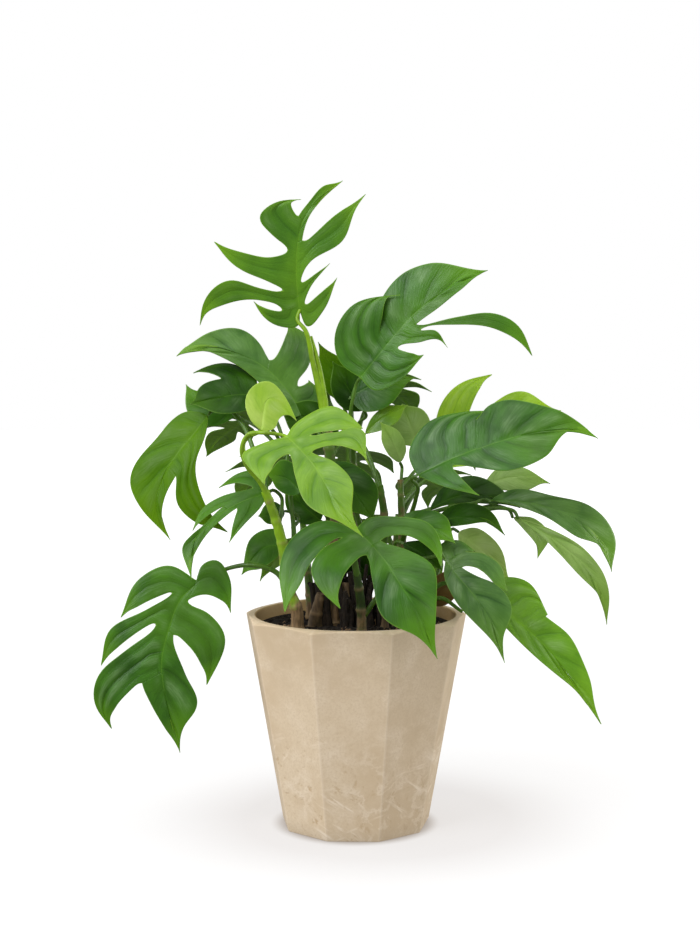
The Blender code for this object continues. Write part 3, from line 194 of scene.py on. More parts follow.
LEAVES = {
    "leaf_top": Leaf(
        (-48, 0, 448), (-11, -20, 557), (0, -1, 0.1),
        [(0.24, 0.1), (0.45, 0.16), (0.62, 0.18), (0.83, 0.12)],
        Half([
            Lobe([(-0.11, -0.03), (-0.16, 0.11), (-0.12, 0.26)], (-0.04, 0.35),
                 [(-0.06, 0.25)], (-0.03, 0.12)),
            Lobe([(-0.02, 0.32), (-0.15, 0.56), (-0.26, 0.65)], (-0.38, 0.67),
                 [(-0.17, 0.7), (0.06, 0.56), (0.07, 0.31)], (0.11, 0.15)),
            Lobe([(0.13, 0.24), (0.16, 0.51), (0.21, 0.65)], (0.29, 0.76),
                 [(0.28, 0.51), (0.32, 0.3)], (0.4, 0.21)),
            Lobe([(0.46, 0.34), (0.56, 0.49), (0.7, 0.41)], (0.78, 0.23), [(0.73, 0.3)], (0.66, 0.22)),
        ], [(0.78, 0.18), (0.93, 0.11)]),
        Half([
            Lobe([(-0.1, -0.09), (0.07, -0.17)], (0.34, -0.19), [(0.17, -0.1)], (0.06, -0.02)),
            Lobe([(0.17, -0.02)], (0.42, -0.11), [(0.32, -0.04)], (0.21, 0.06)),
            Lobe([(0.34, 0.05), (0.61, -0.15), (0.83, -0.16)], (0.98, -0.2), [(0.75, -0.03)], (0.5, 0.14)),
        ], [(0.66, 0.15), (0.85, 0.09)]),
        arch=0.25, fold=0.14, droop=0.1, seat=1,
    ),
    "leaf_upper_right": Leaf(
        (4, -20, 391), (110, -40, 482), (-0.15, -1, 0.35),
        [(0.15, 0.02), (0.34, 0.05), (0.51, 0.07), (0.72, 0.06), (0.9, 0.05)],
        Half([
            Lobe([(-0.04, 0.14), (0.05, 0.3), (0.25, 0.36)], (0.52, 0.2),
                 [(0.44, 0.24), (0.35, 0.18)], (0.27, 0.12), 0.05),
        ], [(0.3, 0.21), (0.42, 0.28), (0.59, 0.31), (0.81, 0.22)]),
        Half([
            Lobe([(0.02, -0.12), (0.2, -0.19)], (0.4, -0.16), [(0.33, -0.09)], (0.3, -0.02)),
            Lobe([(0.42, -0.09), (0.52, -0.15)], (0.53, -0.23), [(0.54, -0.1)], (0.47, -0.03)),
            Lobe([(0.64, -0.14), (0.83, -0.33), (0.88, -0.47)], (0.89, -0.58),
                 [(0.95, -0.38), (0.88, -0.24), (0.69, -0.12)], (0.47, 0.01), -0.02),
        ], [(0.62, 0.0), (0.84, 0.0)]),
        fold=0.1, droop=0.25,
    ),
    "leaf_right_big": Leaf(
        (51, -50, 310), (202, -60, 343), (-0.1, -0.85, 0.5),
        [(0.18, 0.03), (0.35, 0.05), (0.54, 0.07), (0.75, 0.08), (0.93, 0.08)],
        Half([
            Lobe([(-0.02, 0.13), (0.09, 0.27), (0.28, 0.3)], (0.44, 0.27), [(0.42, 0.25)], (0.38, 0.22)),
        ], [(0.45, 0.28), (0.54, 0.3), (0.71, 0.24), (0.9, 0.13)]),
        Half([
            Lobe([(0.14, -0.12)], (0.32, -0.22), [(0.24, -0.1)], (0.21, -0.01)),
        ], [(0.33, -0.06), (0.48, -0.12), (0.69, -0.08), (0.85, 0.05)]),
        arch=0.5,
    ),
    "leaf_low_left": Leaf(
        (-134, -30, 217), (-149, -50, 73), (0.1, -1, 0.35),
        [(0.1, -0.085), (0.29, -0.14), (0.49, -0.16), (0.67, -0.12), (0.85, -0.06)],
        Half([
            Lobe([(-0.09, 0.0), (-0.14, 0.09), (-0.04, 0.18)], (0.17, 0.21),
                 [(0.1, 0.15), (0.07, 0.05)], (0.12, -0.055)),
            Lobe([(0.17, 0.07), (0.3, 0.19), (0.46, 0.17)], (0.6, 0.11),
                 [(0.5, 0.08), (0.37, -0.02)], (0.32, -0.11)),
        ], [(0.53, -0.02), (0.69, 0.07), (0.85, 0.02)]),
        Half([
            Lobe([(-0.08, -0.18), (0.05, -0.37)], (0.26, -0.43), [(0.15, -0.29)], (0.08, -0.14)),
            Lobe([(0.19, -0.28), (0.34, -0.49)], (0.55, -0.51), [(0.4, -0.4)], (0.27, -0.21)),
            Lobe([(0.43, -0.37), (0.6, -0.52), (0.75, -0.53)], (0.91, -0.4),
                 [(0.81, -0.41), (0.68, -0.34)], (0.61, -0.26)),
        ], [(0.72, -0.2), (0.86, -0.1)]),
        arch=0.4, fold=0.1, droop=0.2,
    ),
    "leaf_low_centre": Leaf(
        (0, -90, 269), (65, -140, 172), (0.1, -1, 0.4),
        [(0.1, 0.02), (0.3, 0.04), (0.5, 0.04), (0.73, 0.04)],
        Half([
            Lobe([(-0.03, 0.09), (0.06, 0.26), (0.22, 0.43), (0.39, 0.42)], (0.51, 0.33),
                 [(0.33, 0.32), (0.18, 0.2)], (0.16, 0.09)),
        ], [(0.29, 0.19), (0.47, 0.28), (0.72, 0.16)]),
        Half([
            Lobe([(-0.2, -0.15), (-0.2, -0.38), (-0.03, -0.57)], (0.23, -0.67),
                 [(0.17, -0.55), (0.03, -0.34)], (0.01, -0.1), -0.05),
            Lobe([(0.01, -0.22), (0.1, -0.39), (0.27, -0.42)], (0.44, -0.37),
                 [(0.32, -0.31), (0.22, -0.17)], (0.2, -0.04), 0.03),
        ], [(0.37, -0.1), (0.6, -0.17), (0.82, -0.06)]),
        arch=0.45, fold=0.1, droop=0.25,
    ),
    "leaf_bright": Leaf(
        (-56, -90, 345), (6, -150, 271), (0.2, -1, 0.45),
        [(0.16, 0.01), (0.38, 0.01), (0.66, -0.03), (0.87, -0.03)],
        Half([
            Lobe([(-0.05, 0.07), (-0.08, 0.23), (-0.05, 0.42), (0.11, 0.49)], (0.26, 0.49),
                 [(0.225, 0.41), (0.19, 0.345), (0.158, 0.27), (0.115, 0.2)], (0.1, 0.13), 0.012),
            Lobe([(0.14, 0.2), (0.155, 0.26), (0.2, 0.31), (0.19, 0.37), (0.25, 0.47)], (0.5, 0.36),
                 [(0.36, 0.3), (0.25, 0.16)], (0.24, 0.06)),
        ], [(0.41, 0.14), (0.6, 0.16), (0.79, 0.05)]),
        Half([
            Lobe([(-0.03, -0.19), (-0.04, -0.35), (0.12, -0.38)], (0.29, -0.36),
                 [(0.23, -0.28), (0.17, -0.18)], (0.17, -0.08)),
        ], [(0.35, -0.15), (0.58, -0.21), (0.86, -0.08)]),
        arch=0.4, droop=0.25,
    ),
    "leaf_bright_upper": uncut_leaf(
        (-78, -70, 348), (-49, -52, 356), (-0.1, -1, 0.2), [(0.2, 0.35), (0.55, 0.75), (0.85, 0.55)],
        [(-0.2, 0.45), (0.1, 1.05), (0.75, 1.12), (1.0, 0.6)], [(0.32, -0.05), (0.65, 0.2)], arch=0.1,
        fold=0.1, droop=0.2,
    ),
    "leaf_left_upper": Leaf(
        (-46, 20, 358), (-154, 0, 410), (-0.1, -0.85, 0.55),
        [(0.19, -0.11), (0.39, -0.18), (0.62, -0.19), (0.84, -0.16), (0.96, -0.1)],
        Half([
            Lobe([(-0.1, -0.1), (-0.06, -0.24)], (0.05, -0.27), [(0.07, -0.21)], (0.12, -0.17)),
            Lobe([(0.09, -0.36), (0.14, -0.6)], (0.35, -0.62), [(0.33, -0.45)], (0.38, -0.25)),
        ], [(0.46, -0.32), (0.62, -0.38), (0.87, -0.24)]),
        Half([], [(0.05, 0.06), (0.3, -0.02), (0.6, -0.1), (0.88, -0.09)]),
        arch=0.45, fold=0.1,
    ),
    "leaf_left_dark": Leaf(
        (-84, 0, 376), (-141, -20, 369), (-0.2, -0.8, 0.6), [(0.26, 0.0), (0.56, 0.0)],
        Half([
            Lobe([(-0.05, -0.34), (0.2, -0.62), (0.52, -0.7)], (0.81, -0.63), [(0.6, -0.5)], (0.47, -0.32)),
        ], [(0.72, -0.28)]),
        Half([], [(0.2, 0.28), (0.6, 0.31), (0.9, 0.15)]),
        arch=0.4,
    ),
    "leaf_left_droop": Leaf(
        (-126, -12, 359), (-159, -30, 253), (-0.35, -1, 0.3),
        [(0.17, -0.05), (0.32, -0.11), (0.51, -0.17), (0.72, -0.18), (0.9, -0.11)],
        Half([
            Lobe([(0.15, 0.05), (0.39, 0.05), (0.68, 0.21)], (0.85, 0.4),
                 [(0.82, 0.14), (0.72, 0.0)], (0.52, -0.07)),
        ], [(0.7, -0.11), (0.88, -0.09)]),
        Half([], [(0.02, -0.18), (0.29, -0.33), (0.63, -0.44), (0.84, -0.3)]),
        arch=0.5, fold=0.16, droop=0.5,
    ),
    "leaf_left_thin": Leaf(
        (-74, -30, 294), (-137, -68, 225), (-0.25, -1, 0.4),
        [(0.24, -0.12), (0.5, -0.19), (0.74, -0.19), (0.9, -0.12)],
        Half([
            Lobe([(-0.14, -0.15), (0.04, -0.34)], (0.23, -0.37), [(0.1, -0.26)], (0.06, -0.12)),
            Lobe([(0.29, -0.28), (0.48, -0.34)], (0.67, -0.28), [(0.5, -0.25)], (0.34, -0.2)),
        ], [(0.6, -0.22), (0.82, -0.24)]),
        Half([
            Lobe([(0.13, 0.05), (0.39, 0.05)], (0.57, 0.04), [(0.39, -0.04)], (0.29, -0.1)),
        ], [(0.54, -0.14), (0.87, -0.09)]),
        arch=0.4, droop=0.4,
    ),
    "leaf_far_left": uncut_leaf(
        (-104, 30, 356), (-149, 28, 384), (-0.2, -0.9, 0.4), [(0.4, 0.1), (0.75, 0.13)],
        [(0.25, 0.38), (0.62, 0.45), (0.9, 0.25)], [(0.4, -0.12), (0.8, -0.02)], arch=0.4,
    ),
    "leaf_right_arch": uncut_leaf(
        (115, -20, 286), (220, -30, 227), (0.2, -0.75, 0.75),
        [(0.2, 0.11), (0.45, 0.2), (0.73, 0.22), (0.91, 0.15)],
        [(0.1, 0.17), (0.37, 0.29), (0.67, 0.39), (0.93, 0.3)],
        [(0.17, 0.05), (0.41, 0.08), (0.66, 0.07), (0.87, 0.12)], arch=0.3, fold=0.14, droop=0.4,
    ),
    "leaf_right_under": uncut_leaf(
        (138, -30, 272), (213, -40, 181), (-0.2, -0.9, -0.3),
        [(0.2, 0.09), (0.46, 0.16), (0.7, 0.17), (0.88, 0.1)],
        [(0.19, 0.14), (0.52, 0.26), (0.82, 0.19)], [(0.16, 0.05), (0.53, 0.09), (0.83, 0.09)], arch=0.2,
        fold=0.1,
    ),
    "leaf_right_small": uncut_leaf(
        (135, -12, 271), (156, -22, 236), (-0.1, -0.9, -0.3), [(0.3, 0.19), (0.67, 0.25)],
        [(0.26, 0.39), (0.76, 0.47), (0.94, 0.21)], [(0.37, 0.08), (0.76, 0.12)], arch=0.2, fold=0.1,
        droop=0.2,
    ),
    "leaf_low_right": Leaf(
        (75, -60, 240), (123, -90, 159), (0.25, -1, 0.3),
        [(0.17, 0.01), (0.39, 0.04), (0.62, 0.06), (0.82, 0.04)],
        Half([
            Lobe([(-0.14, 0.03), (-0.1, 0.2)], (0.06, 0.27), [(0.04, 0.22)], (0.02, 0.19)),
            Lobe([(0.1, 0.3), (0.26, 0.38)], (0.5, 0.32),
                 [(0.42, 0.25), (0.32, 0.235), (0.2, 0.19)], (0.13, 0.08), 0.025),
        ], [(0.24, 0.14), (0.38, 0.25), (0.61, 0.28), (0.82, 0.09)]),
        Half([], [(0.1, -0.08), (0.36, -0.13), (0.69, -0.05)]),
        arch=0.45,
    ),
    "leaf_low_right_light": Leaf(
        (108, -30, 208), (208, -60, 101), (0.3, -0.9, 0.3),
        [(0.29, 0.03), (0.49, 0.04), (0.71, 0.03), (0.89, 0.01)],
        Half([
            Lobe([(0.01, 0.14), (0.14, 0.24)], (0.34, 0.19), [(0.345, 0.18)], (0.345, 0.165)),
        ], [(0.5, 0.19), (0.69, 0.14)]),
        Half([], [(0.16, -0.05), (0.47, -0.05), (0.76, 0.0)]),
        arch=0.4, fold=0.14,
    ),
    "leaf_right_back": Leaf(
        (84, 30, 310), (180, 20, 362), (0, -0.9, 0.45), [(0.32, 0.09), (0.66, 0.14)],
        Half([
            Lobe([(0.0, 0.27), (0.16, 0.52), (0.41, 0.62)], (0.66, 0.56), [(0.48, 0.46)], (0.3, 0.25)),
        ], [(0.42, 0.27), (0.77, 0.29)]),
        Half([], [(0.24, -0.1), (0.72, -0.02)]),
    ),
    "leaf_right_back_low": uncut_leaf(
        (110, 10, 295), (171, 14, 298), (0, -0.8, 0.6), [(0.41, 0.1), (0.76, 0.1)],
        [(0.28, 0.27), (0.67, 0.24)], [(0.25, -0.1), (0.62, -0.13)], arch=0.4,
    ),
    "leaf_top_back": uncut_leaf(
        (-5, 30, 372), (53, 30, 390), (0.1, -0.9, 0.45), [(0.35, 0.06), (0.7, 0.05)],
        [(0.22, 0.22), (0.52, 0.23), (0.84, 0.08)], [(0.1, -0.26), (0.43, -0.34), (0.73, -0.19)], arch=0.4,
        droop=0.25,
    ),
    "leaf_right_mid": uncut_leaf(
        (64, -5, 277), (142, -15, 280), (0.1, -0.7, 0.7), [(0.33, 0.14), (0.66, 0.13)],
        [(0.14, 0.28), (0.44, 0.41), (0.77, 0.27)], [(0.27, 0.02), (0.66, 0.01)], arch=0.4,
    ),
    "leaf_left_low": uncut_leaf(
        (-60, -2, 244), (-99, -10, 221), (-0.1, -0.6, 0.8), [(0.3, -0.23), (0.7, -0.16)],
        [(-0.1, -0.45), (0.12, -0.64), (0.4, -0.64), (0.75, -0.34)], [(0.25, 0.14), (0.62, 0.18)], arch=0.3,
        droop=0.2,
    ),
    "leaf_left_small": uncut_leaf(
        (-60, -12, 276), (-84, -14, 272), (-0.1, -0.8, 0.5), [(0.5, 0.05)],
        [(0.3, 0.42), (0.72, 0.4)], [(0.33, -0.45), (0.75, -0.32)], arch=0.3, droop=0.2,
    ),
    "leaf_centre_dark": uncut_leaf(
        (-24, -18, 318), (16, -38, 270), (0.1, -0.8, 0.5), [(0.5, 0.02)],
        [(0.14, 0.2), (0.34, 0.3), (0.58, 0.33), (0.84, 0.22)], [(0.2, -0.26), (0.6, -0.26)],
    ),
    "leaf_centre_left": uncut_leaf(
        (-46, -22, 292), (-76, -32, 310), (-0.1, -0.8, 0.5), [(0.5, -0.14)],
        [(0.2, -0.35), (0.45, -0.54), (0.8, -0.5)], [(0.26, 0.21), (0.6, 0.22)], arch=0.3, droop=0.2,
    ),
    "leaf_mid_right": uncut_leaf(
        (36, -42, 270), (83, -66, 255), (0.1, -0.7, 0.7), [(0.35, 0.08), (0.7, 0.07)],
        [(0.08, 0.28), (0.3, 0.4), (0.6, 0.4), (0.88, 0.18)], [(0.3, -0.16), (0.7, -0.14)],
    ),
    "leaf_blade_dark": uncut_leaf(
        (67, -40, 270), (126, -50, 260), (0.1, -0.8, 0.6), [(0.35, 0.12), (0.7, 0.18)],
        [(0.12, 0.22), (0.3, 0.35), (0.55, 0.37), (0.85, 0.24)], [(0.15, -0.06), (0.42, 0.0), (0.75, 0.12)],
    ),
    "leaf_light_back": uncut_leaf(
        (90, 16, 255), (135, 2, 213), (0.2, -0.9, 0.3), [(0.5, 0.04)],
        [(0.12, 0.2), (0.4, 0.26), (0.77, 0.17)], [(0.2, -0.18), (0.6, -0.2)], arch=0.3,
    ),
    "leaf_pale_low": uncut_leaf(
        (39, 2, 316), (21, -10, 353), (-0.1, -0.9, 0.3), [(0.5, -0.05)],
        [(0.22, -0.22), (0.53, -0.27), (0.83, -0.18)], [(0.22, 0.12), (0.6, 0.15)],
    ),
    "leaf_pale_high": uncut_leaf(
        (57, 42, 329), (42, 52, 366), (0.1, -0.9, 0.3), [(0.5, 0.02)],
        [(0.06, 0.24), (0.4, 0.52), (0.85, 0.38)], [(0.12, -0.26), (0.4, -0.42), (0.8, -0.32)],
    ),
    "leaf_centre_top": uncut_leaf(
        (8, 22, 340), (46, 24, 366), (0.0, -0.9, 0.4), [(0.5, 0.06)],
        [(0.3, 0.18), (0.7, 0.2)], [(0.3, -0.14), (0.75, -0.16)],
    ),
    "leaf_top_left_back": uncut_leaf(
        (-6, 45, 369), (-33, 40, 421), (-0.1, -0.9, 0.3), [(0.5, -0.02)],
        [(0.12, -0.14), (0.36, -0.24), (0.6, -0.2), (0.8, -0.1)], [(0.1, 0.16), (0.4, 0.24), (0.75, 0.14)],
    ),
    "inner_low": uncut_leaf(
        (-30, 16, 264), (-62, 8, 300), (-0.1, -0.9, 0.3), [(0.5, 0.05)],
        [(0.15, 0.25), (0.4, 0.34), (0.75, 0.24)], [(0.2, -0.25), (0.5, -0.3), (0.8, -0.16)],
    ),
    "inner_left": uncut_leaf(
        (-14, 24, 337), (-68, 18, 364), (-0.1, -0.9, 0.3), [(0.5, -0.05)],
        [(0.15, 0.22), (0.4, 0.3), (0.75, 0.22)], [(0.2, -0.25), (0.5, -0.32), (0.8, -0.2)],
    ),
    "inner_high": uncut_leaf(
        (8, 36, 360), (-20, 32, 404), (0.1, -0.9, 0.3), [(0.5, 0.04)],
        [(0.15, 0.24), (0.4, 0.34), (0.75, 0.24)], [(0.2, -0.22), (0.5, -0.3), (0.8, -0.16)],
    ),
    "inner_foot": uncut_leaf(
        (14, 30, 212), (-10, 24, 246), (-0.1, -0.9, 0.3), [(0.5, 0.05)],
        [(0.15, 0.26), (0.4, 0.36), (0.75, 0.26)], [(0.2, -0.25), (0.5, -0.34), (0.8, -0.2)],
    ),
    "dry_leaf": uncut_leaf(
        (64, -6, 194), (90, -12, 228), (0.1, -0.9, 0.3), [(0.5, 0.05)],
        [(0.12, 0.2), (0.4, 0.3), (0.8, 0.2)], [(0.15, -0.22), (0.45, -0.3), (0.8, -0.16)], arch=0.6,
        twist=0.4, fold=0.3, droop=0.4,
    ),
    "leaf_low_dim": uncut_leaf(
        (40, -24, 250), (74, -36, 228), (0.1, -0.8, 0.5), [(0.5, 0.04)],
        [(0.3, 0.26), (0.7, 0.22)], [(0.3, -0.2), (0.7, -0.16)],
    ),
    "leaf_back_left": back_leaf((-60, 80, 316), (-112, 128, 270), (-0.3, 0.75, 0.6)),
    "leaf_back_middle": back_leaf((-2, 92, 318), (-22, 168, 262), (0.0, 0.75, 0.66)),
    "leaf_back_right": back_leaf((62, 84, 296), (116, 132, 254), (0.3, 0.75, 0.6)),
    "leaf_back_high": back_leaf((20, 74, 386), (58, 128, 352), (0.2, 0.7, 0.7)),
    "leaf_back_far_left": back_leaf((-92, 60, 352), (-138, 98, 316), (-0.4, 0.7, 0.6)),
    "leaf_back_far_right": back_leaf((98, 64, 328), (150, 98, 298), (0.35, 0.7, 0.6)),
    "leaf_back_inner": back_leaf((-28, 72, 376), (-62, 116, 344), (-0.3, 0.7, 0.65)),
    "leaf_back_low": back_leaf((8, 96, 256), (6, 146, 200), (0.0, 0.8, 0.55)),
    "leaf_back_low_left": back_leaf((-50, 84, 242), (-90, 124, 196), (-0.4, 0.8, 0.45), NARROW, NARROW_BACK),
    "leaf_back_low_right": back_leaf((50, 88, 236), (84, 132, 192), (0.35, 0.8, 0.5), NARROW, NARROW_BACK),
}

# Leaves that are drawn here alone
SCENE_LEAVES = ("inner_low", "inner_left", "inner_high", "inner_foot", "dry_leaf")

VINES = {
    "vine_left": Vine([
        (-50, -30, 191), (-56, -31, 208), (-59, -33, 228), (-62, -35, 249), (-69, -38, 276),
        (-76, -42, 296),
    ], (6.0, 3.6), [
        Stalk("leaf_bright", 2.6, [
            (-70, -39, 281), (-80, -47, 304), (-90, -58, 318), (-94, -68, 333), (-88, -78, 346),
            (-74, -88, 348),
        ]),
        Stalk("leaf_bright_upper", 2.0, [(-93, -64, 329), (-93, -60, 338), (-87, -62, 345)]),
        Stalk("leaf_low_left", 2.6, [
            (-56, -31, 207), (-67, -25, 224), (-87, -26, 231), (-108, -22, 228), (-124, -22, 222),
        ]),
        Stalk("leaf_left_low", 1.8, [(-59, -33, 228), (-50, -18, 234), (-46, -2, 240)]),
        Stalk("leaf_left_thin", 2.0, [(-66, -37, 264), (-63, -28, 278), (-64, -20, 290)]),
        Stalk("leaf_left_droop", 2.4, [(-75, -41, 293), (-84, -30, 322), (-98, -14, 352), (-113, -6, 365)]),
        Stalk("leaf_left_dark", 2.4, [
            (-58, -32, 222), (-53, -24, 249), (-56, -14, 290), (-62, 0, 335), (-73, 6, 362),
        ]),
        Stalk("leaf_far_left", 1.8, [(-60, -4, 322), (-78, 16, 340), (-94, 32, 350)]),
        Stalk("leaf_left_small", 1.6, [(-54, -20, 262), (-49, -10, 270)]),
    ]),
    "vine_top": Vine([
        (-19, 0, 200), (-20, 0, 240), (-21, 0, 280), (-22, 0, 319), (-25, 0, 350),
    ], (6.0, 4.6), [
        Stalk("leaf_top", 4.2, [(-24, 0, 342), (-31, 0, 380), (-37, -1, 406), (-43, -4, 431)]),
        Stalk("sheath", 3.4, [(-24, 0, 345), (-26.5, 0, 371), (-32.5, 0, 405), (-38.5, -1, 426)]),
        Stalk("leaf_left_upper", 2.4, [(-22, 0, 322), (-31, 14, 340), (-40, 22, 350)]),
        Stalk("leaf_centre_dark", 2.0, [(-21, 0, 296), (-23, -8, 308)]),
        Stalk("leaf_centre_left", 1.8, [(-20, 0, 262), (-30, -10, 278)]),
        Stalk("inner_low", 1.6, [(-20, 0, 246), (-24, 10, 256)]),
        Stalk("inner_left", 1.6, [(-22, 0, 318), (-16, 14, 328)]),
    ]),
    "vine_front": Vine([(5, -50, 190), (4, -51, 205), (1, -55, 228)], (4.6, 3.4), [
        Stalk("leaf_low_centre", 3.0, [(1.5, -54, 224), (-2, -66, 248), (-3, -78, 262)]),
        Stalk("leaf_low_right", 2.4, [
            (5, -50, 188), (16, -50, 204), (30, -48, 222), (45, -44, 235), (62, -50, 241),
        ]),
    ]),
    "vine_right": Vine([(22, 8, 190), (23, 6, 232), (25, 2, 270), (21, 0, 297)], (5.0, 3.0), [
        Stalk("leaf_top_back", 2.4, [(22, 0, 292), (10, 14, 325), (-6, 34, 352)]),
        Stalk("leaf_upper_right", 2.6, [
            (22.5, 7, 216), (8, 2, 250), (-4, -4, 300), (-6, -8, 345), (-2, -14, 374),
        ]),
        Stalk("leaf_centre_top", 1.8, [(15.5, 7, 310), (6, 24, 328)]),
    ]),
    "vine_mid_right": Vine([(38, 22, 190), (41, 10, 231), (40, 2, 270), (39, 2, 302)], (5.0, 2.6), [
        Stalk("leaf_right_big", 2.6, [(40.5, 6, 246), (46, -18, 269), (51, -32, 288), (52, -42, 301)]),
        Stalk("leaf_right_back", 2.2, [(40, 2, 280), (52, 18, 292), (70, 30, 303)]),
        Stalk("leaf_right_arch", 2.2, [(46, -14, 265), (62, -20, 274), (84, -22, 281), (102, -21, 284)]),
        Stalk("leaf_right_under", 1.8, [(96, -22, 283), (110, -25, 279), (124, -27, 280)]),
        Stalk("leaf_right_small", 1.8, [(92, -22, 282.5), (106, -14, 279), (121, -6, 280)]),
        Stalk("leaf_right_mid", 1.8, [(40, 3, 262), (50, 1, 269)]),
        Stalk("leaf_right_back_low", 1.8, [(40, 2, 270), (62, 14, 274), (88, 16, 284)]),
        Stalk("leaf_pale_low", 1.6, [(39.5, 2, 290), (40, 4, 305)]),
        Stalk("leaf_pale_high", 1.8, [(39.5, 2, 296), (50, 30, 304), (58, 44, 314)]),
    ]),
    "vine_low_right": Vine([(56, -18, 186), (58, -20, 196), (62, -22, 212)], (3.6, 2.6), [
        Stalk("leaf_low_right_light", 2.2, [(60, -21, 205), (76, -23, 215), (96, -26, 213)]),
        Stalk("leaf_light_back", 1.8, [(58.5, -20, 198), (74, 6, 226), (80, 22, 246)]),
        Stalk("leaf_low_dim", 1.8, [(57, -19, 193), (40, -16, 226), (33, -14, 243)]),
        Stalk("leaf_blade_dark", 1.8, [(59, -20.5, 200), (66, -10, 236), (66, -21, 257)]),
        Stalk("leaf_mid_right", 1.8, [(56, -18, 187), (38, -28, 232), (29, -34, 256)]),
        Stalk("small shoot", 2.4, [(57, -19, 190), (72, -28, 203), (91, -34, 192)]),
        Stalk("dry_leaf", 1.8, [(56, -18, 184)]),
    ]),
    "vine_back": Vine([
        (0, 45, 190), (-1, 50, 235), (-2, 52, 280), (-2, 50, 330), (-4, 50, 356),
    ], (5.0, 2.6), [
        Stalk("leaf_top_left_back", 2.0, [(-3, 50, 350)]),
        Stalk("inner_high", 1.6, [(-2, 50, 338), (4, 44, 350)]),
        Stalk("inner_foot", 1.6, [(0, 46, 196), (12, 40, 204)]),
        Stalk("leaf_back_middle", 2.2, [(-1.5, 51, 262), (-2, 66, 292), (-2, 84, 312)]),
        Stalk("leaf_back_high", 2.2, [(-2, 50, 320), (6, 58, 352), (15, 70, 376)]),
        Stalk("leaf_back_inner", 2.0, [(-2, 51, 318), (-14, 58, 350), (-24, 68, 370)]),
        Stalk("leaf_back_low", 2.0, [(-0.5, 48, 214), (4, 70, 236), (7, 86, 250)]),
    ]),
    "vine_back_right": Vine([(34, 52, 188), (36, 54, 226), (39, 56, 266)], (4.6, 2.8), [
        Stalk("leaf_back_right", 2.2, [(38, 55.5, 252), (48, 68, 274), (57, 79, 289)]),
        Stalk("leaf_back_far_right", 2.2, [(38, 55.5, 258), (58, 56, 298), (84, 58, 322)]),
        Stalk("leaf_back_low_right", 2.0, [(35, 53, 212), (41, 68, 226)]),
    ]),
    "vine_back_left": Vine([(-40, 30, 188), (-43, 36, 225), (-47, 44, 262)], (4.6, 2.8), [
        Stalk("leaf_back_left", 2.4, [(-45.5, 41, 248), (-49, 54, 280), (-55, 70, 306)]),
        Stalk("leaf_back_far_left", 2.2, [(-46, 42, 252), (-58, 44, 308), (-78, 50, 346)]),
        Stalk("leaf_back_low_left", 2.0, [(-42, 34, 214), (-44, 56, 230)]),
    ]),
}

# The leaves of each tone; the others are mature. Some tones paint light: a darker copy stands for
# leaves in the plant's shade, and lighter ones paint a sheen, sunlight, and light shining through the blade
LEAVES_OF = {
    "young": ("leaf_bright", "leaf_centre_top"),
    "lime": ("leaf_bright_upper",),
    "fresh": ("leaf_top",),
    "droop": ("leaf_left_droop", "leaf_top_left_back"),
    "deep": ("leaf_left_dark", "leaf_centre_dark", "leaf_blade_dark", "leaf_low_dim", "leaf_right_mid",
             "inner_left", "inner_high", "inner_foot"),
    "light": ("leaf_low_right_light",),
    "silky": ("leaf_left_upper", "leaf_right_arch", "leaf_low_right"),
    "sunlit": ("leaf_right_back",),
    "pale": ("leaf_right_under", "leaf_right_small", "leaf_right_back_low", "leaf_pale_low",
             "leaf_pale_high"),
    "sheer": ("leaf_light_back",),
    "dry": ("dry_leaf",),
}
TONE_OF = {leaf: tone for tone, leaves in LEAVES_OF.items() for leaf in leaves}
YOUNG_TONES = ("young", "lime", "fresh")
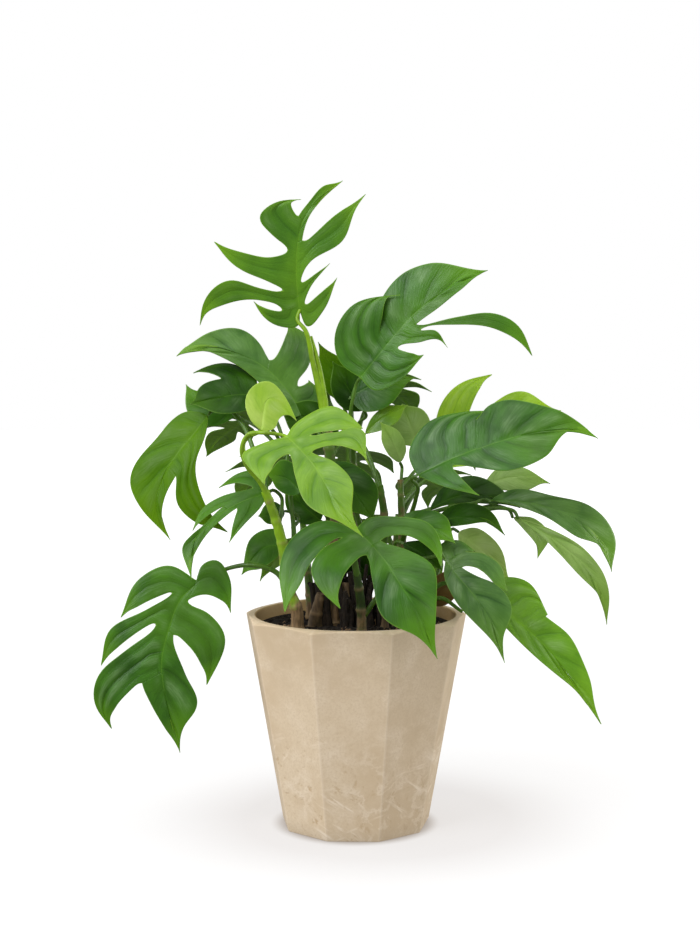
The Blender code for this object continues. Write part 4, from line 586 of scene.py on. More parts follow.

# A tone: the record's slot, upper face, its darker patches, which also paint shade into the creases
# along the side veins, veins, margin, sunlit tips, underside, roughness, and its shine, which also
# sets how strong the painted sheen is
Tone = namedtuple("Tone", "slot face deep vein margin tip under rough gloss")
TONES = {
    "mature": Tone(
        "mature_blade", (0.046, 0.165, 0.008), (0.018, 0.08, 0.003), (0.014, 0.065, 0.003),
        (0.17, 0.36, 0.03), (0.13, 0.33, 0.002), (0.13, 0.27, 0.01), 0.38, 0.3,
    ),
    # A darker copy of the mature tone: painted shade, for leaves that stand in the plant's shade
    "deep": Tone(
        "mature_blade", (0.022, 0.085, 0.001), (0.009, 0.04, 0.001), (0.008, 0.035, 0.001),
        (0.11, 0.24, 0.02), (0.05, 0.14, 0.001), (0.07, 0.17, 0.003), 0.4, 0.14,
    ),
    # Mature leaves with a paler, greyer face: a painted sheen
    "silky": Tone(
        "mature_blade", (0.095, 0.22, 0.04), (0.04, 0.125, 0.016), (0.02, 0.08, 0.006),
        (0.19, 0.37, 0.04), (0.14, 0.32, 0.01), (0.13, 0.27, 0.01), 0.34, 0.4,
    ),
    "fresh": Tone(
        "fresh_blade", (0.09, 0.245, 0.011), (0.05, 0.165, 0.008), (0.035, 0.12, 0.004),
        (0.22, 0.42, 0.03), (0.2, 0.42, 0.005), (0.2, 0.36, 0.02), 0.38, 0.28,
    ),
    "light": Tone(
        "fresh_blade", (0.165, 0.39, 0.012), (0.1, 0.27, 0.006), (0.06, 0.18, 0.005),
        (0.24, 0.45, 0.03), (0.19, 0.41, 0.004), (0.22, 0.4, 0.02), 0.36, 0.34,
    ),
    "droop": Tone(
        "fresh_blade", (0.08, 0.2, 0.001), (0.05, 0.15, 0.0), (0.035, 0.11, 0.0),
        (0.17, 0.33, 0.02), (0.12, 0.26, 0.0), (0.16, 0.29, 0.006), 0.42, 0.12,
    ),
    "young": Tone(
        "young_blade", (0.19, 0.37, 0.014), (0.09, 0.23, 0.004), (0.05, 0.16, 0.004),
        (0.3, 0.5, 0.05), (0.2, 0.39, 0.004), (0.24, 0.42, 0.02), 0.34, 0.4,
    ),
    "sunlit": Tone(
        "young_blade", (0.37, 0.6, 0.02), (0.22, 0.43, 0.008), (0.12, 0.3, 0.008),
        (0.36, 0.56, 0.05), (0.32, 0.55, 0.006), (0.34, 0.54, 0.02), 0.36, 0.3,
    ),
    "lime": Tone(
        "young_blade", (0.42, 0.58, 0.1), (0.25, 0.44, 0.02), (0.16, 0.33, 0.02),
        (0.42, 0.62, 0.1), (0.27, 0.48, 0.02), (0.34, 0.5, 0.06), 0.36, 0.3,
    ),
    "pale": Tone(
        "pale_underside", (0.33, 0.5, 0.13), (0.22, 0.38, 0.07), (0.13, 0.27, 0.035),
        (0.28, 0.44, 0.08), (0.19, 0.37, 0.02), (0.24, 0.38, 0.07), 0.45, 0.28,
    ),
    # A pale tone made lighter still: painted light shining through the blade from behind
    "sheer": Tone(
        "pale_underside", (0.5, 0.66, 0.22), (0.36, 0.54, 0.12), (0.24, 0.4, 0.08),
        (0.4, 0.6, 0.12), (0.3, 0.5, 0.04), (0.42, 0.58, 0.14), 0.45, 0.2,
    ),
    "dry": Tone(
        None, (0.26, 0.15, 0.04), (0.16, 0.085, 0.022), (0.11, 0.06, 0.016),
        (0.34, 0.22, 0.08), (0.24, 0.14, 0.05), (0.28, 0.17, 0.06), 0.7, 0.2,
    ),
}

# What the painted sheen adds to a face, times the tone's shine: pale stripes between the side veins
# that stand in for the lights' reflection
PAINTED_SHEEN = (0.34, 0.43, 0.27)

# The materials of a blade, after its upper face
UNDERSIDE, MARGIN = 1, 2

# What is kept at every point of a blade for its material: place among the side veins, distances
# from midrib and margin in millimetres, how bold its vein is, and how near it is to a tip
BLADE_LAYERS = ("vein", "reach", "edge", "bold", "tip")

# The height of the bumps in a material's finish
BLADE_RELIEF = 0.35 * MM
STEM_RELIEF = 0.4 * MM
STONE_RELIEF = 0.4 * MM
SOIL_RELIEF = 1.2 * MM

# The share of bark colour at the foot and at the end of a stem
WOOD_OF = {
    "vine_left": (1.25, -0.35),
    "vine_top": (0.9, 0.4),
    "vine_right": (0.9, 0.3),
    "vine_mid_right": (0.9, 0.35),
    "vine_front": (1.5, -0.8),
}
# Which stem material a stem has: 0 grown, 1 young, 2 in the shade; the others are grown
LOOK_OF = {"vine_left": 1, "vine_front": 2}
# How far a stalk's end reaches past its solid's end, to the blade that it carries
STALK_SINK = 0.6 * MM

# How finely stems and stalks are drawn
CURVE_STEPS = 200
STEM_SIDES, STEM_STEP = 20, 1.6 * MM
STALK_SIDES, STALK_STEP = 14, 2.4 * MM

# Leaf scars: how much they thicken a stem, their height and spacing, and how uneven its bark is
SCAR_SWELL = 0.16
SCAR_HEIGHT = 1.6 * MM
SCAR_SPACE = 19 * MM
BARK_LEAN = 0.1

# Colours: the pale streaks of grown, young and shaded stems, leaf scars, bark chips and their grains
STREAK = (0.2, 0.34, 0.05)
YOUNG_STREAK = (0.4, 0.55, 0.08)
SHADED_STREAK = (0.09, 0.17, 0.02)
SCAR_COLOUR = (0.36, 0.24, 0.12)
CHIP_COLOUR = (0.16, 0.09, 0.045)
CHIP_GRAIN = (0.3, 0.19, 0.11)

# What all colours and all powers among the settings have in common
COLOUR = {"subtype": "COLOR", "min": 0, "max": 1}
POWER = {"min": 0, "unit": "POWER"}


class PlantSizes(bpy.types.PropertyGroup):
    """Sizes and colours of the plant."""

    blade: FloatProperty(
        name="Blade thickness", description="Thickness of every leaf blade",
        default=0.6 * MM, min=0.2 * MM, unit="LENGTH",
    )
    quilt: FloatProperty(
        name="Quilting", description="Rise of the blade between two side veins, in vein spacings",
        default=0.095, min=0, max=0.3,
    )
    wave: FloatProperty(
        name="Waves", description="Height of the soft waves of the blades",
        default=1.4 * MM, min=0, unit="LENGTH",
    )
    wave_length: FloatProperty(
        name="Wave length", description="Distance between the soft waves",
        default=26 * MM, min=5 * MM, unit="LENGTH",
    )
    vein_space: FloatProperty(
        name="Vein spacing", description="Distance between side veins",
        default=19 * MM, min=3 * MM, unit="LENGTH",
    )
    stalk: FloatVectorProperty(
        name="Stalks", description="Colour of the grown leaf stalks",
        default=(0.075, 0.18, 0.008), **COLOUR,
    )
    young_stalk: FloatVectorProperty(
        name="Young stalks", description="Colour of the stalks of young leaves",
        default=(0.25, 0.45, 0.006), **COLOUR,
    )
    bark: FloatVectorProperty(
        name="Bark", description="Colour of the woody foot of the stems",
        default=(0.13, 0.08, 0.035), **COLOUR,
    )


class PotFinish(bpy.types.PropertyGroup):
    """Finish of the pot and the soil."""

    stone: FloatVectorProperty(
        name="Stone", description="Colour of the stone mix",
        default=(0.77, 0.62, 0.435), **COLOUR,
    )
    inside: FloatVectorProperty(
        name="Inside", description="Colour of the damp inner wall",
        default=(0.54, 0.36, 0.16), **COLOUR,
    )
    corner: FloatProperty(
        name="Corner radius", description="Rounding of the upright corners",
        default=1.6 * MM, min=1 * MM, unit="LENGTH",
    )
    soil: FloatVectorProperty(
        name="Soil", description="Colour of the potting soil",
        default=(0.012, 0.007, 0.0035), **COLOUR,
    )
    crumbs: IntProperty(
        name="Crumbs", description="Number of soil crumbs on the surface",
        default=900, min=0,
    )
    # The roots' colour is near-black: painted shade between the stems' feet
    root: FloatVectorProperty(
        name="Roots", description="Colour of the thin roots round the stems' feet",
        default=(0.012, 0.007, 0.003), **COLOUR,
    )
    roots: IntProperty(
        name="Number of roots", description="Number of thin roots round the stems' feet",
        default=100, min=0,
    )


class StudioLight(bpy.types.PropertyGroup):
    """Light and floor of the stage."""

    key: FloatProperty(
        name="Key light", description="Power of the large light from the upper left",
        default=17, **POWER,
    )
    top: FloatProperty(
        name="Top light", description="Power of the large light above",
        default=6, **POWER,
    )
    front: FloatProperty(
        name="Front light", description="Power of the light above the camera, seen as sheen on blades",
        default=6, **POWER,
    )
    fill: FloatProperty(
        name="Fill light", description="Power of the light from the right",
        default=13, **POWER,
    )
    left: FloatProperty(
        name="Left light", description="Power of the light from the left",
        default=8, **POWER,
    )
    sky: FloatProperty(
        name="Room light", description="Strength of the light from the white room around",
        default=0.55, min=0,
    )
    floor_glow: FloatProperty(
        name="Floor glow", description="Light of the floor itself, which keeps its shadows soft",
        default=0.84, min=0,
    )


def smooth_curve(points, count, start=None):
    """count + 1 points, evenly spaced, on a smooth curve through the given points.

    start is the slope with which the curve leaves its first point."""
    points = np.array(points, float)
    steps = np.linalg.norm(np.diff(points, axis=0), axis=1)
    at = np.concatenate([[0], np.cumsum(steps)])
    slopes = np.gradient(points, at, axis=0)
    if start is not None:
        slopes[0] = start
    fine = np.linspace(0, at[-1], FINE_STEPS * len(steps) + 1)
    piece = np.clip(np.searchsorted(at, fine, side="right") - 1, 0, len(steps) - 1)
    length = steps[piece][:, None]
    t = ((fine - at[piece]) / steps[piece])[:, None]
    path = (
        (2 * t**3 - 3 * t**2 + 1) * points[piece]
        + (t**3 - 2 * t**2 + t) * length * slopes[piece]
        + (3 * t**2 - 2 * t**3) * points[piece + 1]
        + (t**3 - t**2) * length * slopes[piece + 1]
    )
    run = np.concatenate([[0], np.cumsum(np.linalg.norm(np.diff(path, axis=0), axis=1))])
    even = np.linspace(0, run[-1], count + 1)
    return np.stack([np.interp(even, run, path[:, k]) for k in range(path.shape[1])], axis=1)


def in_metres(points):
    """Points given in millimetres."""
    return [Vector(point) * MM for point in points]


def scaled(colour, share):
    """A lighter or darker colour."""
    return tuple(share * part for part in colour)


def on_line(line, share):
    """The point at that share of a line of evenly spaced points."""
    at = share * (len(line) - 1)
    low = min(int(at), len(line) - 2)
    return line[low] + (at - low) * (line[low + 1] - line[low])


def finished(name, bm, materials, smooth_angle=radians(40)):
    """A new piece from the bmesh, shaded smooth except at sharp edges, riding on the root."""
    mesh = bpy.data.meshes.new(name)
    bm.to_mesh(mesh)
    bm.free()
    obj = bpy.data.objects.new(name, mesh)
    bpy.context.scene.collection.objects.link(obj)
    for material in materials:
        mesh.materials.append(material)
    mesh.shade_smooth()
    mesh.set_sharp_from_angle(angle=smooth_angle)
    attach(obj, "root")
    return obj


class Net:
    """A shader node tree that is filled node by node."""

    def __init__(self, tree):
        self.tree = tree

    def give(self, node, inputs):
        """Gives a node's inputs, by name or number, a value or another node's output."""
        for key, value in inputs.items():
            socket = node.inputs[key]
            if isinstance(value, bpy.types.NodeSocket):
                self.tree.links.new(value, socket)
            else:
                socket.default_value = (*value, 1) if socket.type == "RGBA" else value

    def add(self, kind, inputs=None, **settings):
        """A new node with its settings and inputs."""
        node = self.tree.nodes.new("ShaderNode" + kind)
        for key, value in settings.items():
            setattr(node, key, value)
        self.give(node, inputs or {})
        return node

    def place(self):
        """The place on the piece, in metres."""
        return self.add("TexCoord").outputs["Object"]

    def maths(self, operation, *values):
        """The result of a Math node on one or two values or sockets."""
        return self.add("Math", dict(enumerate(values)), operation=operation).outputs[0]

    def times(self, first, second):
        return self.maths("MULTIPLY", first, second)

    def plus(self, first, second):
        return self.maths("ADD", first, second)

    def minus(self, first, second):
        return self.maths("SUBTRACT", first, second)

    def between(self, value, low, high, start=0.0, end=1.0):
        """The value's smooth way from start at low to end at high."""
        inputs = {"Value": value, "From Min": low, "From Max": high, "To Min": start, "To Max": end}
        return self.add("MapRange", inputs, interpolation_type="SMOOTHSTEP").outputs[0]

    def mix(self, factor, first, second, blend="MIX"):
        """Two colours mixed by a factor."""
        inputs = {0: factor, 6: first, 7: second}
        return self.add("Mix", inputs, data_type="RGBA", blend_type=blend).outputs[2]

    def attribute(self, name):
        return self.add("Attribute", attribute_name=name).outputs["Fac"]

    def noise(self, vector, scale, detail=2.0, rough=0.5):
        inputs = {"Vector": vector, "Scale": scale, "Detail": detail, "Roughness": rough}
        return self.add("TexNoise", inputs).outputs["Fac"]


def new_group(name, colours, numbers, results):
    """A node group with named inputs, a Colour and other results: its net, inputs and output node."""
    tree = bpy.data.node_groups.new(name, "ShaderNodeTree")
    for way, kind, labels in (
        ("INPUT", "Color", colours), ("INPUT", "Float", numbers),
        ("OUTPUT", "Color", ["Colour"]), ("OUTPUT", "Float", results),
    ):
        for label in labels:
            tree.interface.new_socket(label, in_out=way, socket_type="NodeSocket" + kind)
    return Net(tree), tree.nodes.new("NodeGroupInput").outputs, tree.nodes.new("NodeGroupOutput")


def blade_group():
    """The effect of veins, streaks, margin, tips and mottling, shared by all blade materials.

    It also paints shade into the creases along the side veins, and a pale sheen between them.
    """
    colours = ("Face", "Deep", "Vein", "Margin", "Tip", "Satin")
    net, given, made = new_group(
        "Blade veins", colours, ("Vein strength", "Roughness"), ("Roughness", "Height"),
    )
    place = net.place()
    vein, reach, edge, bold, tip = (net.attribute(name) for name in BLADE_LAYERS)
    wobble = net.times(net.minus(net.noise(place, 90), 0.5), 0.1)
    vein = net.plus(vein, wobble)
    side = net.maths("ABSOLUTE", net.minus(net.maths("FRACT", vein), 0.5))
    inner = net.between(reach, 0.5, 4)
    outer = net.between(edge, 0.5, 9)
    line = net.times(net.between(side, 0.004, 0.04, 1, 0), outer)
    line = net.times(line, bold)
    along = net.add("CombineXYZ", {0: net.times(vein, 13.0), 1: net.times(reach, 0.09)}).outputs[0]
    streak = net.between(net.noise(along, 1.0), 0.3, 0.7)
    streak = net.times(streak, inner)
    patches = net.between(net.noise(place, 42, 3), 0.35, 0.68)
    colour = net.mix(net.times(patches, 0.8), given["Face"], given["Deep"])
    # Painted shade: darker in the creases along the side veins, less so near the midrib and the margin
    painted_crease_shade = net.between(side, 0.0, 0.2, 0.95, 0)
    painted_crease_shade = net.times(painted_crease_shade, net.times(inner, bold))
    painted_crease_shade = net.times(painted_crease_shade, net.between(edge, 0.5, 14, 0.25, 1))
    colour = net.mix(painted_crease_shade, colour, given["Deep"])
    # Painted sheen: pale stripes between the side veins, where the lights would be reflected
    painted_sheen_stripes = net.times(net.between(side, 0.14, 0.44), net.between(edge, 1, 6))
    painted_sheen_stripes = net.times(painted_sheen_stripes, net.between(reach, 1, 6))
    painted_sheen_stripes = net.times(painted_sheen_stripes, net.between(net.noise(place, 34, 1), 0.4, 0.62, 0, 0.75))
    painted_sheen_stripes = net.times(painted_sheen_stripes, net.between(streak, 0, 1, 1, 0.55))
    colour = net.mix(painted_sheen_stripes, colour, given["Satin"])
    colour = net.mix(net.times(streak, 0.22), colour, given["Vein"])
    strength = net.times(line, given["Vein strength"])
    colour = net.mix(strength, colour, given["Vein"])
    # Random warm patches, and painted sunlight through the tips, towards the tip colour
    warm_and_sunlit_tips = net.between(net.noise(place, 13, 2), 0.42, 0.66, 0, 0.35)
    warm_and_sunlit_tips = net.maths("MAXIMUM", warm_and_sunlit_tips, tip)
    colour = net.mix(net.times(warm_and_sunlit_tips, 0.75), colour, given["Tip"])
    rib = net.between(reach, 0.2, 0.7, 1, 0)
    colour = net.mix(net.times(rib, 0.22), colour, given["Margin"])
    rim = net.between(edge, 0.1, 0.9, 1, 0)
    colour = net.mix(net.times(rim, 0.6), colour, given["Margin"])
    grain = net.noise(place, 900, 2)
    uneven = net.plus(grain, net.times(streak, 0.5))
    uneven = net.times(net.minus(uneven, 0.7), 0.16)
    height = net.minus(net.times(grain, 0.08), net.times(line, 0.35))
    height = net.minus(height, net.times(streak, 0.32))
    rough = net.plus(given["Roughness"], uneven)
    net.give(made, {"Colour": colour, "Roughness": rough, "Height": height})
    return net.tree


def new_material(name):
    """An empty material's net and its shader."""
    material = bpy.data.materials.new(name)
    material.use_nodes = True
    net = Net(material.node_tree)
    return material, net, material.node_tree.nodes["Principled BSDF"]


def bumped(net, shader, height, distance, strength=1.0):
    """Raises the surface by a height between 0 and 1."""
    bump = net.add("Bump", {"Height": height, "Strength": strength, "Distance": distance})
    net.give(shader, {"Normal": bump.outputs["Normal"]})


def blade_material(name, face, tone, group, strength):
    """One side of a blade."""
    material, net, shader = new_material(name)
    # The painted sheen's colour: the face made paler, more so on shinier tones
    painted_sheen_colour = tuple(0.7 * part + tone.gloss * pale for part, pale in zip(face, PAINTED_SHEEN))
    values = {
        "Deep": tone.deep, "Vein": tone.vein, "Margin": tone.margin, "Tip": tone.tip, "Face": face,
        "Satin": painted_sheen_colour, "Vein strength": strength, "Roughness": tone.rough,
    }
    effect = net.add("Group", node_tree=group)
    net.give(effect, values)
    made = effect.outputs
    looks = {"Base Color": made["Colour"], "Roughness": made["Roughness"]}
    net.give(shader, {**looks, "Specular IOR Level": tone.gloss})
    bumped(net, shader, made["Height"], BLADE_RELIEF)
    return material


def blade_materials(tone_name, tone, group):
    """The materials of one tone: upper face, underside and the thin edge between them."""
    face = blade_material(f"{tone_name} blade", tone.face, tone, group, 0.45)
    under_tone = tone._replace(deep=tone.under, rough=0.5)
    under = blade_material(f"{tone_name} underside", tone.under, under_tone, group, 0.6)
    margin, net, shader = new_material(f"{tone_name} margin")
    colour = net.mix(net.noise(net.place(), 120), tone.margin, scaled(tone.margin, 0.8))
    net.give(shader, {"Base Color": colour, "Roughness": 0.45})
    return [face, under, margin]


class Blade:
    """The frame of one leaf: where a point of its flat outline lies in space."""

    def __init__(self, leaf):
        self.leaf = leaf
        self.base = Vector(leaf.base) * MM
        chord = Vector(leaf.tip) * MM - self.base
        self.length = chord.length
        self.along = chord.normalized()
        face = Vector(leaf.face)
        self.up = (face - self.along * face.dot(self.along)).normalized()
        self.out = self.up.cross(self.along)
        self.rib = smooth_curve([(0, 0), *leaf.rib, (1, 0)], RIB_STEPS)
        self.feet = [self.feet_of(leaf.one), self.feet_of(leaf.other)]
        self.feet[1] = [self.shared(foot) for foot in self.feet[1]]

    def feet_of(self, half):
        """For each notch, the share of the midrib where the blade between the two begins."""
        feet = []
        for lobe in half.lobes:
            spans = np.linalg.norm(self.rib - np.array(lobe.notch), axis=1)
            nearest = int(np.argmin(spans))
            share = nearest / RIB_STEPS - VEIN_SWEEP * spans[nearest]
            feet.append(max(share, feet[-1] + LEAST_FOOT if feet else LEAST_FOOT))
        return feet

    def shared(self, foot):
        """A foot of the second half, moved to one of the first half's if that is close."""
        close = [other for other in self.feet[0] if abs(other - foot) < SAME_FOOT]
        return close[0] if close else foot

    def stations(self):
        """The shares of the midrib where a column of faces starts, for both halves alike."""
        marks = {0.0, 1.0}
        for feet in self.feet:
            starts = [0.0, *feet]
            marks.update(feet)
            marks.update((low + high) / 2 for low, high in zip(starts, feet))
        marks = sorted(marks)
        made = [0.0]
        for low, high in zip(marks, marks[1:]):
            pieces = max(4, ceil((high - low) * self.length / COLUMN))
            made += [low + (high - low) * (k + 1) / pieces for k in range(pieces)]
        return made

    def place(self, point, foot, lift=0.0):
        """The place in space of a point of the outline, whose vein leaves the midrib at foot."""
        leaf = self.leaf
        a, b = point
        span = np.linalg.norm(np.array(point) - foot)
        height = leaf.fold * span - leaf.droop * span**2 + lift
        half = leaf.arch / 2
        angle = leaf.arch * (a - 0.5)
        reach = 0.5 + sin(angle) / (2 * sin(half)) + height * sin(angle)
        rise = (cos(angle) - cos(half)) / (2 * sin(half)) + height * cos(angle)
        turn = leaf.twist * a
        side = b * cos(turn) - rise * sin(turn)
        rise = b * sin(turn) + rise * cos(turn)
        return self.base + (self.along * reach + self.out * side + self.up * rise) * self.length

    def seat(self):
        """The last two points of a stalk, a gap short of the blade's base."""
        half = self.leaf.arch / 2
        normal = (self.up * cos(half) - self.along * sin(half)) * self.leaf.seat
        along = self.along * cos(half) + self.up * sin(half)
        rise = max(self.leaf.seat, 0) * self.leaf.fold * STALK_END_RADIUS
        end = self.base + normal * (BLADE_SOLID / 2 + SEAT_GAP + rise)
        return [end + normal * SEAT_RISE - along * SEAT_RUN, end], normal


Spot = namedtuple("Spot", "point foot rib lift vein edge space way")


def risen(value, low, high):
    """The smooth rise from 0 at low to 1 at high."""
    way = min(1, max(0, (value - low) / (high - low)))
    return way * way * (3 - 2 * way)


def drip(way):
    """The share of its width that a blade keeps on its way into a long thin tip."""
    return 1 - DRIP_DEPTH * risen(way, DRIP_START, 1)


class Drawing:
    """One blade's mesh while its lobes are added, with what the material reads at each point."""

    def __init__(self, leaf, sizes):
        self.blade = Blade(leaf)
        self.sizes = sizes
        self.stations = self.blade.stations()
        self.bm = bmesh.new()
        self.layers = [self.bm.verts.layers.float.new(name) for name in BLADE_LAYERS]

    def relief(self, spot, reach, edge, bold):
        """How far a point stands off the plain blade: quilting between veins, groove at the rib."""
        sizes, length = self.sizes, self.blade.length
        quilt = sizes.quilt * spot.space * (abs(cos(pi * spot.vein)) - 1) * bold
        from_rib = min(1, reach / (QUILT_FROM_RIB * spot.space))
        from_edge = min(1, edge / (QUILT_FROM_EDGE * spot.space))
        quilt *= from_rib * from_edge
        groove = -GROOVE_DEPTH * exp(-((reach / GROOVE_WIDTH) ** 2))
        place = Vector((*spot.point, 0)) * length / sizes.wave_length
        wave = sizes.wave * noise.noise(place + self.blade.base * 100) * min(1, reach / CALM_STRIP)
        return (quilt + groove + wave) / length - TIP_CURL * risen(spot.way, TIP_START, 1)

    def patch(self, columns, rows, spot_at, flipped):
        """A grid whose points go where spot_at says for a column number and outward share."""
        blade = self.blade
        made = bmesh.ops.create_grid(self.bm, x_segments=columns, y_segments=rows, size=1)
        for vert in made["verts"]:
            column = round((vert.co.x + 1) / 2 * columns)
            spot = spot_at(column, (vert.co.y + 1) / 2)
            reach = np.linalg.norm(spot.point - spot.rib) * blade.length
            edge = spot.edge * blade.length
            vein_seed = Vector((floor(spot.vein) * 1.7, blade.length * 100, 0.5))
            bold = VEIN_BOLD + VEIN_VARIES * noise.noise(vein_seed)
            lift = spot.lift + self.relief(spot, reach, edge, bold)
            vert.co = blade.place(spot.point, spot.foot, lift)
            tip = risen(spot.way, TIP_START, 1)
            for layer, value in zip(self.layers, (spot.vein, reach / MM, edge / MM, bold, tip)):
                vert[layer] = value
        if flipped:
            faces = {face for vert in made["verts"] for face in vert.link_faces}
            bmesh.ops.reverse_faces(self.bm, faces=list(faces))

    def veins_across(self, width):
        """An odd number of side veins for a lobe of that width in leaf lengths."""
        return max(1, 2 * round((width * self.blade.length / self.sizes.vein_space - 1) / 2) + 1)

    def lobe(self, lobe, columns, start, end, flipped, vein):
        """A strip from the midrib to the lobe's neck, and the lobe from its neck to its tip."""
        blade = self.blade
        back = smooth_curve([start[0], *lobe.back, lobe.tip], MARGIN_STEPS, start[1])
        front = smooth_curve([end[0], *reversed(lobe.front), lobe.tip], MARGIN_STEPS, -end[1])
        low, high = columns[0], columns[-1]
        feet = [on_line(blade.rib, share) for share in columns]
        middle = on_line(blade.rib, (low + high) / 2)
        width = max(np.linalg.norm(back - front, axis=1))
        veins = self.veins_across(width)
        space = width * blade.length / veins

        def strip(column, outward):
            across = (columns[column] - low) / (high - low)
            neck = start[0] + (end[0] - start[0]) * across
            point = feet[column] + (neck - feet[column]) * outward
            edge = min(np.linalg.norm(point - start[0]), np.linalg.norm(point - end[0]))
            return Spot(point, feet[column], feet[column], 0.0, vein + across * veins, edge, space, 0.0)

        def flap(column, outward):
            across = (columns[column] - low) / (high - low)
            first, last = on_line(back, outward), on_line(front, outward)
            foot = feet[column] + (middle - feet[column]) * outward
            width = (last - first) * drip(outward)
            point = (first + last) / 2 + width * (across - 0.5)
            edge = min(across, 1 - across) * np.linalg.norm(width)
            lift = lobe.lift * sin(pi / 2 * outward)
            return Spot(point, foot, feet[column], lift, vein + across * veins, edge, space, outward)

        self.patch(len(columns) - 1, STRIP_ROWS, strip, flipped)
        self.patch(len(columns) - 1, LOBE_ROWS, flap, flipped)
        return vein + veins

    def half(self, half, feet):
        """The lobes of one side of the midrib in order, and the blade that ends in the leaf's tip."""
        blade = self.blade
        middle = np.array(half.end[len(half.end) // 2])
        nearest = blade.rib[int(np.argmin(np.linalg.norm(blade.rib - middle, axis=1)))]
        flipped = middle[1] < nearest[1]
        low, start, vein = 0.0, (np.zeros(2), None), 0
        for lobe, high in zip(half.lobes, feet):
            ahead, behind = min(high + RIB_REACH, 1), max(high - RIB_REACH, 0)
            slope = on_line(blade.rib, ahead) - on_line(blade.rib, behind)
            slope = slope / np.linalg.norm(slope) * SINUS_ROUND
            end = (np.array(lobe.notch), slope)
            columns = [share for share in self.stations if low - CLOSE <= share <= high + CLOSE]
            vein = self.lobe(lobe, columns, start, end, flipped, vein)
            low, start = high, end
        columns = [share for share in self.stations if share >= low - CLOSE]
        margin = smooth_curve([start[0], *half.end, (1, 0)], MARGIN_STEPS, start[1])
        veins = max(2, round((1 - low) * blade.length / self.sizes.vein_space))
        space = (1 - low) * blade.length / veins

        def blade_end(column, outward):
            share = (columns[column] - low) / (1 - low)
            ahead = 1 - (1 - share) ** VEIN_LEAN
            opposite = on_line(blade.rib, low + (1 - low) * ahead)
            edge_point = opposite + (on_line(margin, ahead) - opposite) * drip(ahead)
            root = on_line(blade.rib, columns[column])
            plain = on_line(blade.rib, low + (1 - low) * (share + (ahead - share) * outward))
            chord = edge_point - root
            bow = 4 * outward * (1 - outward) * min(1, 6 * share * (1 - share))
            bend = VEIN_BOW * np.linalg.norm(chord) * bow
            point = root + chord * outward - np.array([bend, 0])
            edge = (1 - outward) * np.linalg.norm(chord)
            way = share + (ahead - share) * outward
            return Spot(point, plain, root, 0.0, vein + share * veins, edge, space, way)

        self.patch(len(columns) - 1, END_ROWS, blade_end, flipped)


def leaf_blade(name, leaf, materials, sizes):
    """One leaf blade over its solid."""
    drawing = Drawing(leaf, sizes)
    for half, feet in zip((leaf.one, leaf.other), drawing.blade.feet):
        drawing.half(half, feet)
    bm = drawing.bm
    bmesh.ops.remove_doubles(bm, verts=bm.verts, dist=WELD)
    bmesh.ops.dissolve_degenerate(bm, edges=bm.edges, dist=WELD / 2)
    obj = finished(f"{name}_blade", bm, materials, radians(60))
    smooth = obj.modifiers.new("Smooth outline", "SUBSURF")
    smooth.levels = smooth.render_levels = 1
    wall = obj.modifiers.new("Blade", "SOLIDIFY")
    wall.thickness = sizes.blade
    wall.offset = 0
    wall.material_offset = UNDERSIDE
    wall.material_offset_rim = MARGIN
    obj.modifiers.new("Crisp margin", "WEIGHTED_NORMAL")
    return obj


class PLANTER_OT_leaves(bpy.types.Operator):
    """Draw every leaf blade with its veins, margin and underside"""

    bl_idname = "planter.leaves"
    bl_label = "Leaves"

    def execute(self, context):
        group = blade_group()
        finishes = {name: blade_materials(name, tone, group) for name, tone in TONES.items()}
        for name, leaf in LEAVES.items():
            tone = TONE_OF.get(name, "mature")
            obj = leaf_blade(name, leaf, finishes[tone], context.scene.plant_sizes)
            if name not in SCENE_LEAVES:
                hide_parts(name)
        return {"FINISHED"}


def tube(bm, points, radii, sides, spacing, layers, wood, swell=0.0, swell_space=1.0, end_way=None):
    """A closed round bar along a smooth route, from its first to its last radius.

    wood is the share of bark colour at its first and last point. swell thickens it a little at
    each leaf scar, one every swell_space. end_way turns its end to face the blade that it carries."""
    length = sum((Vector(b) - Vector(a)).length for a, b in zip(points, points[1:]))
    curve = smooth_curve(points, CURVE_STEPS)
    count = max(4, ceil(length / spacing))
    bend = 1 if end_way is None else 1 - SEAT_RUN / length
    shares = [k / count * bend for k in range(count)] + sorted({bend, (1 + bend) / 2, 1})
    route = [Vector(on_line(curve, share)) for share in shares]
    way = (route[1] - route[0]).normalized()
    side = way.orthogonal().normalized()
    last = len(route) - 1
    before = None
    for index, centre in enumerate(route):
        ahead = route[min(index + 1, last)] - route[max(index - 1, 0)]
        if index == last and end_way is not None:
            ahead = end_way if ahead.dot(end_way) > 0 else -end_way
        ahead.normalize()
        side.rotate(way.rotation_difference(ahead))
        way = ahead
        share = shares[index]
        radius = radii[0] + (radii[1] - radii[0]) * share
        at = (share * length / swell_space) % 1.0 - 0.5
        ring_mark = exp(-((at * swell_space / SCAR_HEIGHT) ** 2)) if swell else 0.0
        radius *= 1 + swell * ring_mark
        turn = Matrix.Translation(centre) @ Matrix((side, way.cross(side), way)).transposed().to_4x4()
        made = bmesh.ops.create_circle(bm, segments=sides, radius=radius, matrix=turn)["verts"]
        for vert in made:
            if swell:
                vert.co += (vert.co - centre) * BARK_LEAN * noise.noise(vert.co * 160)
            vert[layers[0]] = wood[0] + (wood[1] - wood[0]) * share
            vert[layers[1]] = ring_mark
        ring = list({edge for vert in made for edge in vert.link_edges})
        if before is None:
            bmesh.ops.contextual_create(bm, geom=ring)
        else:
            bmesh.ops.bridge_loops(bm, edges=before + ring)
        before = ring
    bmesh.ops.contextual_create(bm, geom=before)


